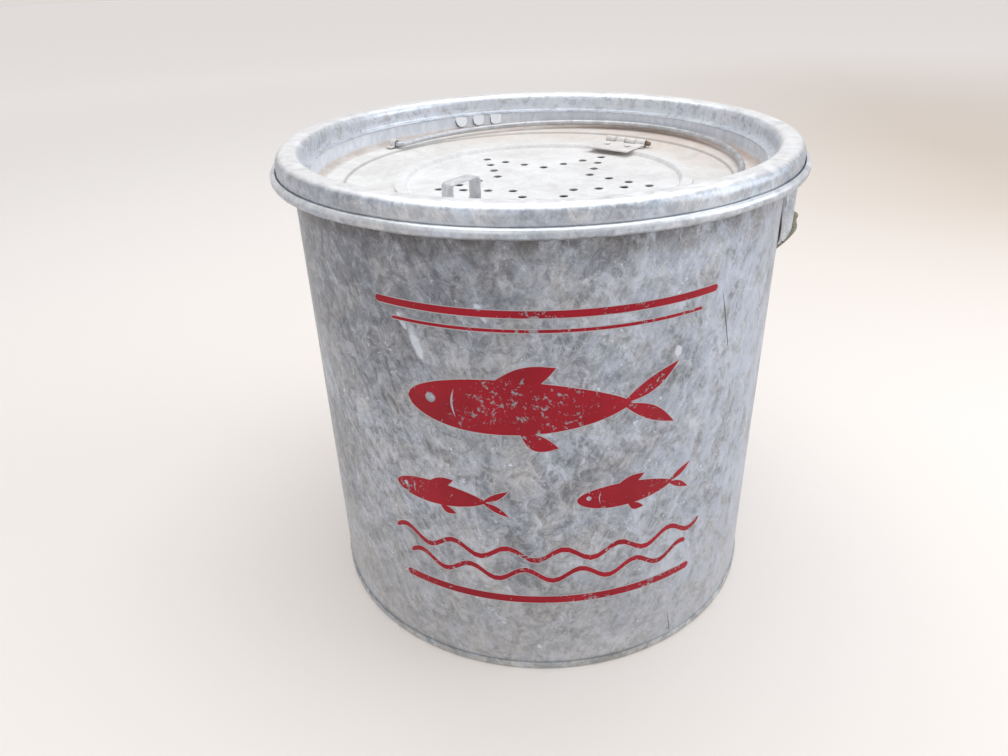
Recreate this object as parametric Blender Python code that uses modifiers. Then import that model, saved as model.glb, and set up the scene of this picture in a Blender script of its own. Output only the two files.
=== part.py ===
"""Galvanised floating minnow bucket.

A steel pail holds a perforated inner bucket, which hangs by its rolled rim and floats on a
ring of air under its sunken deck. A round hinged door in the deck closes the neck down to
the minnows. Z is up, the origin is the centre of the foot ring, and X runs from bail ear to
bail ear. Everything is in metres and degrees.
"""

import math

import bmesh
import bpy
from mathutils import Matrix, Vector

# Driving dimensions shared by several pieces
FLATS = 32
SMALL_SIDES = 12
GAP = 0.0003

# Outer pail
PAIL_RADIUS = 0.1172
PAIL_HEIGHT = 0.2356
PAIL_SHEET = 0.0007
PAIL_FLOOR_HEIGHT = 0.0070
FLOOR_CORNER = 0.0030
FOOT_FOLD_HEIGHT = 0.0040
RIM_WIRE_RADIUS = 0.0018
ROLL_CLEARANCE = 0.0004
ROLL_STEPS = 8
SEAM_FLAT = 11
SEAM_WIDTH = 0.0055
SEAM_PROUD = 0.0008

# Inner bucket: rim, sunken deck and neck
INNER_SHEET = 0.0006
SKIRT_CLEARANCE = 0.0011
SHOULDER_RADIUS = 0.0042
CROWN_INNER_RADIUS = 0.0034
THROAT_CLEARANCE = 0.0038
BEAD_DROP = 0.0097
BEAD_HALF_WIDTH = 0.0015
BEAD_HALF_HEIGHT = 0.0020
BEAD_CURL_ANGLE = 110.0
LEDGE_DROP = 0.0092
LEDGE_WIDTH = 0.0033
DECK_DROP = 0.0185
DECK_FILLET = 0.0045
DECK_STEP_RADIUS = 0.0950
DECK_STEP_DEPTH = 0.0010
DISH_DEPTH = 0.0030
DOOR_SEAT_WIDTH = 0.0142
NECK_RADIUS = 0.0701
NECK_CENTRE = (0.0027, 0.0008)
COLLAR_DEPTH = 0.0062
TAB_AZIMUTHS = (109.0, 114.8, 120.6)
TAB_WIDTH = 0.0066
TAB_LENGTH = 0.0056
TAB_LEAN = 18.0
TAB_SLOT = 0.0006

# Inner bucket: float chamber and basket
FLOAT_DEPTH = 0.0600
FLOAT_FLOOR_FALL = 0.0020
FLOAT_CORNER = 0.0030
FLOAT_FLANGE = 0.0065
BASKET_CLEARANCE = 0.0070
BASKET_FLANGE = 0.0040
WALL_HOLE_RADIUS = 0.0024
WALL_HOLE_ROWS = 4
WALL_HOLE_PITCH = 0.0240
WALL_HOLE_FIRST = 0.0220
FLOOR_HOLE_RINGS = 2
FLOOR_HOLE_PITCH = 0.0360

# Door with its star of air holes
DOOR_FLANGE_WIDTH = 0.0050
DOOR_WALL_CLEARANCE = 0.0015
DOOR_RECESS_DEPTH = 0.0021
DOOR_FLOOR_FALL = 0.0008
STAR_CENTRE = (0.0010, -0.0001)
STAR_POINTS = 5
STAR_TIP_RADIUS = 0.0532
STAR_VERTEX_RADIUS = 0.0246
STAR_HOLE_RADIUS = 0.0020
STAR_HOLES_PER_EDGE = 3

# Door hinge
HINGE_AZIMUTH = 59.0
HINGE_LENGTH = 0.0254
HINGE_LEAF_WIDTH = 0.0190
HINGE_SHEET = 0.0008
HINGE_FIXED_SHEET = 0.0006
HINGE_OFFSET = 0.0070
KNUCKLES = 4
KNUCKLE_RADIUS = 0.0020
PIN_RADIUS = 0.0010
PIN_HEAD_RADIUS = 0.00135
PIN_PROUD = 0.0026
PIN_BORE_CLEARANCE = 0.00035
HINGE_RIVET_SPACING = 0.0130
RIVET_SHANK_RADIUS = 0.0010
RIVET_HEAD_RADIUS = 0.0019
RIVET_HEAD_HEIGHT = 0.0005
RIVET_SIDES = 8

# Door latch
LATCH_WIDTH = 0.0067
LATCH_SHEET = 0.0008
LATCH_SPAN = 0.0182
LATCH_RISE = 0.0122
LATCH_BEND = 0.0022
LATCH_FOOT = 0.0120
LATCH_SETBACK = 0.0016
LATCH_ASIDE = 0.0019
LATCH_RIVET_SPACING = 0.0050
TONGUE_DEPTH = 0.0062
TONGUE_NOSE_CLEARANCE = 0.0010
TONGUE_SLOT_INWARD = 0.0034
TONGUE_SLOT_CLEARANCE = 0.0005

# Inner bail and its lugs
INNER_BAIL_RADIUS = 0.0015
INNER_BAIL_INSET = 0.0025
INNER_BAIL_BEND = 0.0030
INNER_BAIL_LIFT = 0.8
LUG_INSET = 0.0084
LUG_LENGTH = 0.0042
LUG_SHEET = 0.0007
LUG_FOOT = 0.0030
LUG_CLEARANCE = 0.0004

# Outer bail, ears and grip
EAR_WIDTH = 0.0340
EAR_HEIGHT = 0.0360
EAR_SHEET = 0.0012
EAR_CORNER = 0.0060
EAR_TOP_DROP = 0.0145
EAR_BRIDGE_WIDTH = 0.0170
EAR_BRIDGE_RISE = 0.0054
EAR_RIVET_SHANK_RADIUS = 0.0015
EAR_RIVET_HEAD_RADIUS = 0.0030
EAR_RIVET_HEAD_HEIGHT = 0.0012
EAR_RIVET_LIFT = 0.0210
PIVOT_DROP = 0.0395
BAIL_RADIUS = 0.0016
BAIL_HOLE_CLEARANCE = 0.0005
BAIL_BEND = 0.0022
BAIL_EAR_CLEARANCE = 0.0007
BAIL_RIM_CLEARANCE = 0.0019
BAIL_SHOULDER = 0.0250
BAIL_REACH = 0.1520
BAIL_HEAD_FACTOR = 1.5
GRIP_LENGTH = 0.0900
GRIP_RADIUS = 0.0065
GRIP_END_RADIUS = 0.0050
GRIP_BORE_CLEARANCE = 0.0004
GRIP_PLAY = 0.0030

# Places worked out from the driving dimensions: the pail's wall and rim
FLAT_FACTOR = math.cos(math.pi / FLATS)
PAIL_INSIDE = PAIL_RADIUS - PAIL_SHEET
PAIL_MID = PAIL_RADIUS - PAIL_SHEET / 2
ROLL_RADIUS = RIM_WIRE_RADIUS + ROLL_CLEARANCE + PAIL_SHEET / 2
ROLL_CENTRE = PAIL_MID + ROLL_RADIUS
ROLL_LEVEL = PAIL_HEIGHT - PAIL_SHEET / 2 - ROLL_RADIUS
ROLL_OUTSIDE = ROLL_CENTRE + ROLL_RADIUS + PAIL_SHEET / 2
ROLL_BOTTOM = ROLL_LEVEL - ROLL_RADIUS - PAIL_SHEET / 2

# The inner bucket's rim, deck and neck, as mid lines of the sheet
HALF_SHEET = INNER_SHEET / 2
RIM_TOP = PAIL_HEIGHT + GAP + INNER_SHEET
CROWN_LEVEL = RIM_TOP - HALF_SHEET
SKIRT_RADIUS = ROLL_OUTSIDE + SKIRT_CLEARANCE + HALF_SHEET
BEAD_LEVEL = RIM_TOP - BEAD_DROP
BEAD_RADIUS = SKIRT_RADIUS + 2 * BEAD_HALF_WIDTH + HALF_SHEET
THROAT_RADIUS = PAIL_INSIDE - THROAT_CLEARANCE - HALF_SHEET
LEDGE_LEVEL = RIM_TOP - LEDGE_DROP
POCKET_RADIUS = THROAT_RADIUS - LEDGE_WIDTH
POCKET_INSIDE = POCKET_RADIUS - HALF_SHEET
DECK_TOP = RIM_TOP - DECK_DROP
SEAT_TOP = DECK_TOP - DISH_DEPTH
COLLAR_RADIUS = NECK_RADIUS + HALF_SHEET
SEAT_RADIUS = NECK_RADIUS + DOOR_SEAT_WIDTH
NECK_SHIFT_RADIUS = NECK_RADIUS + DOOR_SEAT_WIDTH / 2
NECK_TUBE_RADIUS = NECK_RADIUS + INNER_SHEET + GAP + HALF_SHEET
BASKET_RADIUS = POCKET_RADIUS + HALF_SHEET + GAP + HALF_SHEET
BASKET_INSIDE = BASKET_RADIUS - HALF_SHEET
LINER_RADIUS = BASKET_INSIDE - GAP - HALF_SHEET
BASKET_BOTTOM = PAIL_FLOOR_HEIGHT + PAIL_SHEET / 2 + BASKET_CLEARANCE
BASKET_TOP = LEDGE_LEVEL - INNER_SHEET - 2 * GAP
FLOAT_FLOOR = SEAT_TOP - FLOAT_DEPTH

# The door, its hinge axis and its latch
DOOR_FLANGE_LEVEL = SEAT_TOP + GAP + HALF_SHEET
DOOR_FLANGE_TOP = DOOR_FLANGE_LEVEL + HALF_SHEET
DOOR_RECESS_RADIUS = NECK_RADIUS - DOOR_WALL_CLEARANCE - HALF_SHEET
DOOR_RADIUS = DOOR_RECESS_RADIUS + DOOR_FLANGE_WIDTH
DOOR_FLOOR_LEVEL = DOOR_FLANGE_LEVEL - DOOR_RECESS_DEPTH
DOOR_FLOOR_TOP = DOOR_FLOOR_LEVEL + HALF_SHEET
HINGE_RADIUS = DOOR_RADIUS + HINGE_OFFSET
HINGE_LEVEL = SEAT_TOP + GAP + KNUCKLE_RADIUS
LEAF_LEVEL = DOOR_FLANGE_TOP + GAP + HINGE_SHEET / 2
LEAF_TOP = LEAF_LEVEL + HINGE_SHEET / 2
BORE_RADIUS = PIN_RADIUS + PIN_BORE_CLEARANCE
LATCH_OUTER = DOOR_RECESS_RADIUS - LATCH_SETBACK
LATCH_INNER = LATCH_OUTER - LATCH_SPAN
LATCH_FOOT_LEVEL = DOOR_FLOOR_TOP + GAP + LATCH_SHEET / 2
LATCH_TOP = DOOR_FLOOR_TOP + LATCH_RISE - LATCH_SHEET / 2
TONGUE_PIVOT_RADIUS = LATCH_OUTER - LATCH_BEND
TONGUE_NOSE = NECK_RADIUS * FLAT_FACTOR - TONGUE_NOSE_CLEARANCE
RIVET_HOLE_RADIUS = RIVET_SHANK_RADIUS + PIN_BORE_CLEARANCE

# The two bails
INNER_BAIL_LEVEL = DECK_TOP + LUG_CLEARANCE + INNER_BAIL_RADIUS
INNER_BAIL_REACH = POCKET_INSIDE - INNER_BAIL_INSET
LUG_CENTRE = POCKET_INSIDE - LUG_INSET
INNER_BAIL_HALF_SPAN = LUG_CENTRE - LUG_LENGTH / 2 - GAP - INNER_BAIL_BEND
PIVOT_LEVEL = RIM_TOP - PIVOT_DROP
EAR_FLANGE_RADIUS = PAIL_RADIUS + GAP + EAR_SHEET / 2
EAR_BRIDGE_RADIUS = EAR_FLANGE_RADIUS + EAR_BRIDGE_RISE
EAR_OUTSIDE = EAR_BRIDGE_RADIUS + EAR_SHEET / 2
EAR_TOP = RIM_TOP - EAR_TOP_DROP
EAR_BOTTOM = EAR_TOP - EAR_HEIGHT
ARM_OFFSET = EAR_OUTSIDE + BAIL_EAR_CLEARANCE + BAIL_RADIUS
BAIL_HALF_SPAN = BEAD_RADIUS + BAIL_RIM_CLEARANCE + BAIL_RADIUS
GRIP_STRAIGHT = GRIP_LENGTH / 2 + GRIP_PLAY
BAIL_REST_DROP = math.degrees(math.acos((PAIL_RADIUS + GAP + GRIP_RADIUS) / BAIL_REACH))

GALVANISED = ((0.52, 0.56, 0.60), 0.75, 0.42)
DECK_FINISH = ((0.78, 0.76, 0.72), 0.35, 0.55)
WIRE_FINISH = ((0.42, 0.42, 0.40), 0.85, 0.45)
RUSTY_FINISH = ((0.30, 0.20, 0.15), 0.45, 0.70)
WOOD_FINISH = ((0.45, 0.27, 0.14), 0.0, 0.55)


def start_afresh():
    """Empties the scene and makes the two collections."""
    for leftover in list(bpy.data.objects):
        bpy.data.objects.remove(leftover, do_unlink=True)
    parts = bpy.data.collections.new("minnow_bucket")
    cutters = bpy.data.collections.new("cutters")
    for collection in (parts, cutters):
        bpy.context.scene.collection.children.link(collection)
    return parts, cutters


PARTS, CUTTERS = start_afresh()


def frame(name, parent=None, location=(0, 0, 0), rotation=(0, 0, 0)):
    """An empty that carries a moving group; rotation is in degrees."""
    empty = bpy.data.objects.new(name, None)
    PARTS.objects.link(empty)
    empty.empty_display_size = 0.01
    empty.location = location
    empty.rotation_euler = [math.radians(angle) for angle in rotation]
    empty.parent = parent
    return empty


def paint(piece, finish):
    """Gives a piece its own Principled material."""
    colour, metallic, roughness = finish
    material = bpy.data.materials.new(piece.name)
    material.use_nodes = True
    shader = material.node_tree.nodes["Principled BSDF"]
    shader.inputs["Base Color"].default_value = (*colour, 1.0)
    shader.inputs["Metallic"].default_value = metallic
    shader.inputs["Roughness"].default_value = roughness
    piece.data.materials.clear()
    piece.data.materials.append(material)


def settled(name, source):
    """Turns a curve or a mesh with modifiers into a plain welded mesh object."""
    bpy.context.view_layer.update()
    mesh = bpy.data.meshes.new_from_object(source.evaluated_get(bpy.context.evaluated_depsgraph_get()))
    build = bmesh.new()
    build.from_mesh(mesh)
    bmesh.ops.remove_doubles(build, verts=build.verts, dist=1e-6)
    build.to_mesh(mesh)
    build.free()
    mesh.shade_smooth()
    mesh.set_sharp_from_angle(angle=math.radians(35))
    piece = bpy.data.objects.new(name, mesh)
    PARTS.objects.link(piece)
    piece.matrix_world = source.matrix_world
    bpy.data.objects.remove(source, do_unlink=True)
    return piece


def as_cutter(piece):
    """Moves a piece to the cutters, shown as wire and never rendered."""
    PARTS.objects.unlink(piece)
    CUTTERS.objects.link(piece)
    piece.hide_render = True
    piece.display_type = "WIRE"
    return piece


def combine(target, tool, operation):
    """Adds a live Boolean of the target with a cutter that stands in the same frame."""
    tool.parent = target.parent
    tool.location = target.location
    change = target.modifiers.new(tool.name, "BOOLEAN")
    change.operation = operation
    change.solver = "EXACT"
    change.object = tool


def carry(piece, parent, finish, origin=(0, 0, 0)):
    """Hangs a piece, drawn in bucket coordinates, on a frame that stands at the origin given."""
    piece.parent = parent
    piece.location = -Vector(origin)
    paint(piece, finish)
    return piece


def arc(centre, radius, start, end, steps, radius_up=None):
    """Points of a circular or elliptical arc, with angles in degrees from the +X side."""
    tall = radius if radius_up is None else radius_up
    points = []
    for step in range(steps + 1):
        angle = math.radians(start + (end - start) * step / steps)
        points.append((centre[0] + radius * math.cos(angle), centre[1] + tall * math.sin(angle)))
    return points


def sheet(line, thickness):
    """Closed outline of bent sheet of even thickness, from the mid line of its section."""
    points = [Vector(point) for point in line]
    last = len(points) - 1
    one_side = []
    other_side = []
    for index, here in enumerate(points):
        ahead = (points[min(index + 1, last)] - points[min(index, last - 1)]).normalized()
        behind = (points[max(index, 1)] - points[max(index - 1, 0)]).normalized()
        normal_ahead = Vector((-ahead.y, ahead.x))
        normal_behind = Vector((-behind.y, behind.x))
        mitre = (normal_ahead + normal_behind) / (1 + normal_ahead.dot(normal_behind))
        one_side.append(here + mitre * thickness / 2)
        other_side.append(here - mitre * thickness / 2)
    return one_side + other_side[::-1]


def off_centre(piece, within=None):
    """Moves a piece, or what lies within a radius, from the bucket's axis to the neck's."""
    shift = Vector((*NECK_CENTRE, 0))
    for vertex in piece.data.vertices:
        if within is None or vertex.co.xy.length < within:
            vertex.co += shift
    return piece


def turned(name, outline, steps=FLATS):
    """Body of revolution round Z, from an outline of (radius, height) points."""
    loop = [Vector(point) for point in outline]
    following = loop[1:] + loop[:1]
    if sum(a.x * b.y - b.x * a.y for a, b in zip(loop, following)) > 0:
        loop.reverse()
    edges = [(index, index + 1) for index in range(len(loop) - 1)]
    if loop[0].x > GAP or loop[-1].x > GAP:
        edges.append((len(loop) - 1, 0))
    mesh = bpy.data.meshes.new(name)
    mesh.from_pydata([(point.x, 0, point.y) for point in loop], edges, [])
    source = bpy.data.objects.new(name + "_profile", mesh)
    PARTS.objects.link(source)
    screw = source.modifiers.new("turn", "SCREW")
    screw.axis = "Z"
    screw.angle = 2 * math.pi
    screw.steps = steps
    screw.render_steps = steps
    screw.use_merge_vertices = True
    screw.merge_threshold = 1e-6
    return settled(name, source)


def flat(name, outline, depth, plane="XZ"):
    """Plate with the outline given, centred on its plane; XY is level, XZ and YZ stand up."""
    curve = bpy.data.curves.new(name, "CURVE")
    curve.dimensions = "2D"
    curve.fill_mode = "BOTH"
    curve.extrude = depth / 2
    spline = curve.splines.new("POLY")
    spline.points.add(len(outline) - 1)
    for point, place in zip(spline.points, outline):
        point.co = (place[0], place[1], 0, 1)
    spline.use_cyclic_u = True
    source = bpy.data.objects.new(name + "_outline", curve)
    PARTS.objects.link(source)
    piece = settled(name, source)
    if plane != "XY":
        piece.data.transform(Matrix.Rotation(math.radians(90), 4, "X"))
    if plane == "YZ":
        piece.data.transform(Matrix.Rotation(math.radians(90), 4, "Z"))
    return piece


def wire(name, points, radius, ends=()):
    """Round wire along the points; ends lists radius factors for the first and last points."""
    curve = bpy.data.curves.new(name, "CURVE")
    curve.dimensions = "3D"
    curve.bevel_depth = radius
    curve.bevel_resolution = 2
    curve.use_fill_caps = True
    spline = curve.splines.new("POLY")
    spline.points.add(len(points) - 1)
    for point, place in zip(spline.points, points):
        point.co = (*place, 1)
    for index, factor in enumerate(ends):
        spline.points[index].radius = factor
        spline.points[-1 - index].radius = factor
    source = bpy.data.objects.new(name + "_path", curve)
    PARTS.objects.link(source)
    return settled(name, source)


def pegs(name, shafts, sides=SMALL_SIDES):
    """Cutter of straight round shafts, each given as (centre, axis, radius, length)."""
    mesh = bpy.data.meshes.new(name)
    build = bmesh.new()
    for centre, axis, radius, length in shafts:
        turn = Vector(axis).to_track_quat("Z", "Y").to_matrix().to_4x4()
        bmesh.ops.create_cone(build, cap_ends=True, segments=sides, radius1=radius, radius2=radius,
                              depth=length, matrix=Matrix.Translation(centre) @ turn)
    build.to_mesh(mesh)
    build.free()
    piece = bpy.data.objects.new(name, mesh)
    PARTS.objects.link(piece)
    return as_cutter(piece)


def bricks(name, blocks):
    """Cutter of upright boxes, each given as (low corner, high corner)."""
    mesh = bpy.data.meshes.new(name)
    build = bmesh.new()
    for low, high in blocks:
        size = Vector(high) - Vector(low)
        middle = (Vector(high) + Vector(low)) / 2
        place = Matrix.Translation(middle) @ Matrix.Diagonal((*size, 1))
        bmesh.ops.create_cube(build, size=1.0, matrix=place)
    build.to_mesh(mesh)
    build.free()
    piece = bpy.data.objects.new(name, mesh)
    PARTS.objects.link(piece)
    return as_cutter(piece)


def rivet(name, low, high, shank, head, head_height, tail=0.0):
    """Rivet along Z between two levels: a low domed head on top, and a tail head where one is set."""
    top = [(0, high + head_height),
           (head * 0.6, high + head_height * 0.85),
           (head, high + head_height * 0.25)]
    under = [(head, high), (shank, high)]
    foot = [(shank, low), (0, low)]
    if tail:
        under_tail = low - head_height * 0.8
        foot = [(shank, low), (tail, low), (tail, under_tail), (0, under_tail)]
    return turned(name, top + under + foot, RIVET_SIDES)


def radial(azimuth, radius=1.0, height=0.0):
    """Point at a radius and azimuth in degrees."""
    turn = math.radians(azimuth)
    return Vector((radius * math.cos(turn), radius * math.sin(turn), height))


# Frames of the moving groups
inner_bucket = frame("inner_bucket")
hinge_place = radial(HINGE_AZIMUTH, HINGE_RADIUS, HINGE_LEVEL) + Vector((*NECK_CENTRE, 0))
door_swing = frame("door_swing", inner_bucket, hinge_place, (0, 0, HINGE_AZIMUTH))
DOOR_ORIGIN = (HINGE_RADIUS, 0, HINGE_LEVEL)
tongue_place = (-TONGUE_PIVOT_RADIUS, LATCH_ASIDE, LATCH_TOP)
tongue_flex = frame("tongue_flex", door_swing, Vector(tongue_place) - Vector(DOOR_ORIGIN))
inner_bail_swing = frame("inner_bail_swing", inner_bucket, (0, 0, INNER_BAIL_LEVEL),
                         (INNER_BAIL_LIFT, 0, HINGE_AZIMUTH - 90))
bail_swing = frame("bail_swing", None, (0, 0, PIVOT_LEVEL), (-BAIL_REST_DROP, 0, 0))
grip_spin = frame("grip_spin", bail_swing, (0, BAIL_REACH, 0))


def make_pail_wall():
    """Wall of the pail, curled outwards over a wire at the top, with its upright lock seam."""
    slit = PAIL_RADIUS + GAP + PAIL_SHEET / 2
    open_angle = -math.degrees(math.acos((slit - ROLL_CENTRE) / ROLL_RADIUS))
    line = arc((ROLL_CENTRE, ROLL_LEVEL), ROLL_RADIUS, open_angle, 180, ROLL_STEPS)
    line.append((PAIL_MID, PAIL_SHEET + GAP))
    wall = carry(turned("pail_wall", sheet(line, PAIL_SHEET)), None, GALVANISED)
    seam_root = PAIL_MID * FLAT_FACTOR
    seam_face = PAIL_RADIUS * FLAT_FACTOR + SEAM_PROUD
    seam = bricks("seam_strip", [((seam_root, -SEAM_WIDTH / 2, FOOT_FOLD_HEIGHT + 2 * GAP),
                                  (seam_face, SEAM_WIDTH / 2, ROLL_BOTTOM - 2 * GAP))])
    seam.data.transform(Matrix.Rotation(2 * math.pi * (SEAM_FLAT + 0.5) / FLATS, 4, "Z"))
    combine(wall, seam, "UNION")
    holes = []
    for side in (0, 180):
        for azimuth, height in ear_rivet_places():
            direction = radial(side + azimuth)
            holes.append((direction * PAIL_MID + Vector((0, 0, height)), direction,
                          EAR_RIVET_SHANK_RADIUS + GAP + PIN_BORE_CLEARANCE, 4 * PAIL_SHEET))
    combine(wall, pegs("ear_rivet_holes", holes), "DIFFERENCE")


def make_rim_wire():
    """Wire ring that the pail's rim is curled over."""
    bpy.ops.mesh.primitive_torus_add(major_segments=FLATS, minor_segments=6, major_radius=ROLL_CENTRE,
                                     minor_radius=RIM_WIRE_RADIUS, location=(0, 0, ROLL_LEVEL))
    ring = bpy.context.object
    ring.name = "rim_wire"
    bpy.context.collection.objects.unlink(ring)
    PARTS.objects.link(ring)
    ring.data.shade_smooth()
    paint(ring, WIRE_FINISH)


def make_pail_bottom():
    """Raised floor, whose edge turns down inside the wall and folds up outside it as the foot."""
    inner_leg = PAIL_INSIDE - GAP - PAIL_SHEET / 2
    outer_leg = PAIL_RADIUS + GAP + PAIL_SHEET / 2
    line = [(0, PAIL_FLOOR_HEIGHT)]
    line += arc((inner_leg - FLOOR_CORNER, PAIL_FLOOR_HEIGHT - FLOOR_CORNER), FLOOR_CORNER, 90, 0, 3)
    line += [(inner_leg, PAIL_SHEET / 2), (outer_leg, PAIL_SHEET / 2), (outer_leg, FOOT_FOLD_HEIGHT)]
    carry(turned("pail_bottom", sheet(line, PAIL_SHEET)), None, GALVANISED)


def make_rim_cap():
    """Spun cap that hangs on the pail's rim: rolled bead, skirt, crown, throat and inward ledge."""
    line = arc((SKIRT_RADIUS + BEAD_HALF_WIDTH, BEAD_LEVEL), BEAD_HALF_WIDTH, BEAD_CURL_ANGLE, -180, 7,
               BEAD_HALF_HEIGHT)
    line += arc((SKIRT_RADIUS - SHOULDER_RADIUS, CROWN_LEVEL - SHOULDER_RADIUS), SHOULDER_RADIUS, 0, 90, 3)
    line += arc((THROAT_RADIUS + CROWN_INNER_RADIUS, CROWN_LEVEL - CROWN_INNER_RADIUS),
                CROWN_INNER_RADIUS, 90, 180, 3)
    line += [(THROAT_RADIUS, LEDGE_LEVEL + LEDGE_WIDTH / 3),
             (THROAT_RADIUS - LEDGE_WIDTH * 0.4, LEDGE_LEVEL),
             (POCKET_INSIDE, LEDGE_LEVEL - INNER_SHEET)]
    carry(turned("rim_cap", sheet(line, INNER_SHEET)), inner_bucket, GALVANISED)


def tab_windows(name):
    """Cutter of the three punched windows behind the tabs."""
    half = TAB_WIDTH / 2 + TAB_SLOT
    windows = []
    for azimuth in TAB_AZIMUTHS:
        window = bricks(name, [((POCKET_RADIUS - DECK_FILLET, -half, BASKET_TOP - TAB_LENGTH - TAB_SLOT),
                                (BASKET_RADIUS + DECK_FILLET, half, BASKET_TOP - 2 * INNER_SHEET))])
        window.data.transform(Matrix.Rotation(math.radians(azimuth), 4, "Z"))
        windows.append(window)
    return windows


def make_deck_pan():
    """Sunken deck with its upstand, the step, the door's seat and the collar down into the neck."""
    line = [(POCKET_RADIUS, BASKET_TOP)]
    line += arc((POCKET_RADIUS - DECK_FILLET, DECK_TOP - HALF_SHEET + DECK_FILLET), DECK_FILLET, 0, -90, 3)
    seat = SEAT_TOP - HALF_SHEET
    outer_fall = (DISH_DEPTH - DECK_STEP_DEPTH) * 0.2
    line += [(DECK_STEP_RADIUS + DECK_STEP_DEPTH / 2, DECK_TOP - HALF_SHEET - outer_fall),
             (DECK_STEP_RADIUS - DECK_STEP_DEPTH / 2, DECK_TOP - HALF_SHEET - outer_fall - DECK_STEP_DEPTH),
             (SEAT_RADIUS, seat),
             (COLLAR_RADIUS + INNER_SHEET, seat),
             (COLLAR_RADIUS, seat - INNER_SHEET),
             (COLLAR_RADIUS, SEAT_TOP - COLLAR_DEPTH)]
    pan = off_centre(turned("deck_pan", sheet(line, INNER_SHEET)), NECK_SHIFT_RADIUS)
    carry(pan, inner_bucket, DECK_FINISH)
    for window in tab_windows("pan_window"):
        combine(pan, window, "DIFFERENCE")
    for azimuth in TAB_AZIMUTHS:
        half = TAB_WIDTH / 2
        outline = [(-half, 0), (-half, -TAB_LENGTH * 0.55), (-half * 0.6, -TAB_LENGTH),
                   (half * 0.6, -TAB_LENGTH), (half, -TAB_LENGTH * 0.55), (half, 0)]
        tongue = flat("tab", outline, INNER_SHEET, "YZ")
        lean = Matrix.Rotation(math.radians(TAB_LEAN), 4, "Y")
        place = Matrix.Translation((POCKET_RADIUS * FLAT_FACTOR, 0, BASKET_TOP - GAP))
        tongue.data.transform(Matrix.Rotation(math.radians(azimuth), 4, "Z") @ place @ lean)
        combine(pan, as_cutter(tongue), "UNION")


def make_neck_tube():
    """Rolled tube from the door's seat down through the float chamber's floor."""
    line = [(NECK_TUBE_RADIUS, SEAT_TOP - INNER_SHEET - 2 * GAP),
            (NECK_TUBE_RADIUS, FLOAT_FLOOR - INNER_SHEET)]
    carry(off_centre(turned("neck_tube", sheet(line, INNER_SHEET))), inner_bucket, GALVANISED)


def make_float_floor():
    """Ring-shaped floor of the float chamber, turned up round the neck and up inside the basket."""
    inner = FLOAT_FLOOR - HALF_SHEET
    outer = inner - FLOAT_FLOOR_FALL
    collar = NECK_TUBE_RADIUS + INNER_SHEET + GAP
    line = [(collar, inner + FLOAT_FLANGE)]
    line += arc((collar + FLOAT_CORNER, inner + FLOAT_CORNER), FLOAT_CORNER, 180, 270, 3)
    line += arc((LINER_RADIUS - FLOAT_CORNER, outer + FLOAT_CORNER), FLOAT_CORNER, -90, 0, 3)
    line.append((LINER_RADIUS, outer + FLOAT_FLANGE))
    ring = off_centre(turned("float_floor", sheet(line, INNER_SHEET)), NECK_SHIFT_RADIUS)
    carry(ring, inner_bucket, GALVANISED)


def make_basket_wall():
    """Perforated side of the minnow basket, which also closes the float chamber outside."""
    line = [(BASKET_RADIUS, BASKET_TOP), (BASKET_RADIUS, BASKET_BOTTOM)]
    wall = carry(turned("basket_wall", sheet(line, INNER_SHEET)), inner_bucket, GALVANISED)
    holes = []
    for row in range(WALL_HOLE_ROWS):
        height = BASKET_BOTTOM + WALL_HOLE_FIRST + row * WALL_HOLE_PITCH
        for turn in range(FLATS // 2):
            direction = radial((2 * turn + 0.5 + row % 2) * 360 / FLATS)
            holes.append((direction * BASKET_RADIUS + Vector((0, 0, height)), direction,
                          WALL_HOLE_RADIUS, 6 * INNER_SHEET))
    combine(wall, pegs("wall_holes", holes, 6), "DIFFERENCE")
    for window in tab_windows("basket_window"):
        combine(wall, window, "DIFFERENCE")


def make_basket_bottom():
    """Perforated floor of the basket, flanged down inside its wall."""
    level = BASKET_BOTTOM + BASKET_FLANGE
    line = [(0, level)]
    line += arc((LINER_RADIUS - FLOAT_CORNER, level - FLOAT_CORNER), FLOAT_CORNER, 90, 0, 2)
    line.append((LINER_RADIUS, BASKET_BOTTOM))
    bottom = carry(turned("basket_bottom", sheet(line, INNER_SHEET)), inner_bucket, GALVANISED)
    holes = [((0, 0, level), (0, 0, 1), WALL_HOLE_RADIUS, 6 * INNER_SHEET)]
    for ring in range(1, FLOOR_HOLE_RINGS + 1):
        for turn in range(6 * ring):
            place = radial(360 * (turn + 0.5) / (6 * ring), ring * FLOOR_HOLE_PITCH, level)
            holes.append((place, (0, 0, 1), WALL_HOLE_RADIUS, 6 * INNER_SHEET))
    combine(bottom, pegs("floor_holes", holes, 6), "DIFFERENCE")


def star_places():
    """Hole centres along the edges of a five-pointed star, as (x, y)."""
    centre = Vector((*STAR_CENTRE, 0))
    corners = []
    for index in range(2 * STAR_POINTS):
        radius = STAR_VERTEX_RADIUS if index % 2 else STAR_TIP_RADIUS
        corners.append(centre + radial(180 * index / STAR_POINTS, radius))
    places = []
    for start, end in zip(corners, corners[1:] + corners[:1]):
        for step in range(STAR_HOLES_PER_EDGE):
            places.append(start.lerp(end, step / STAR_HOLES_PER_EDGE))
    return places


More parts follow.
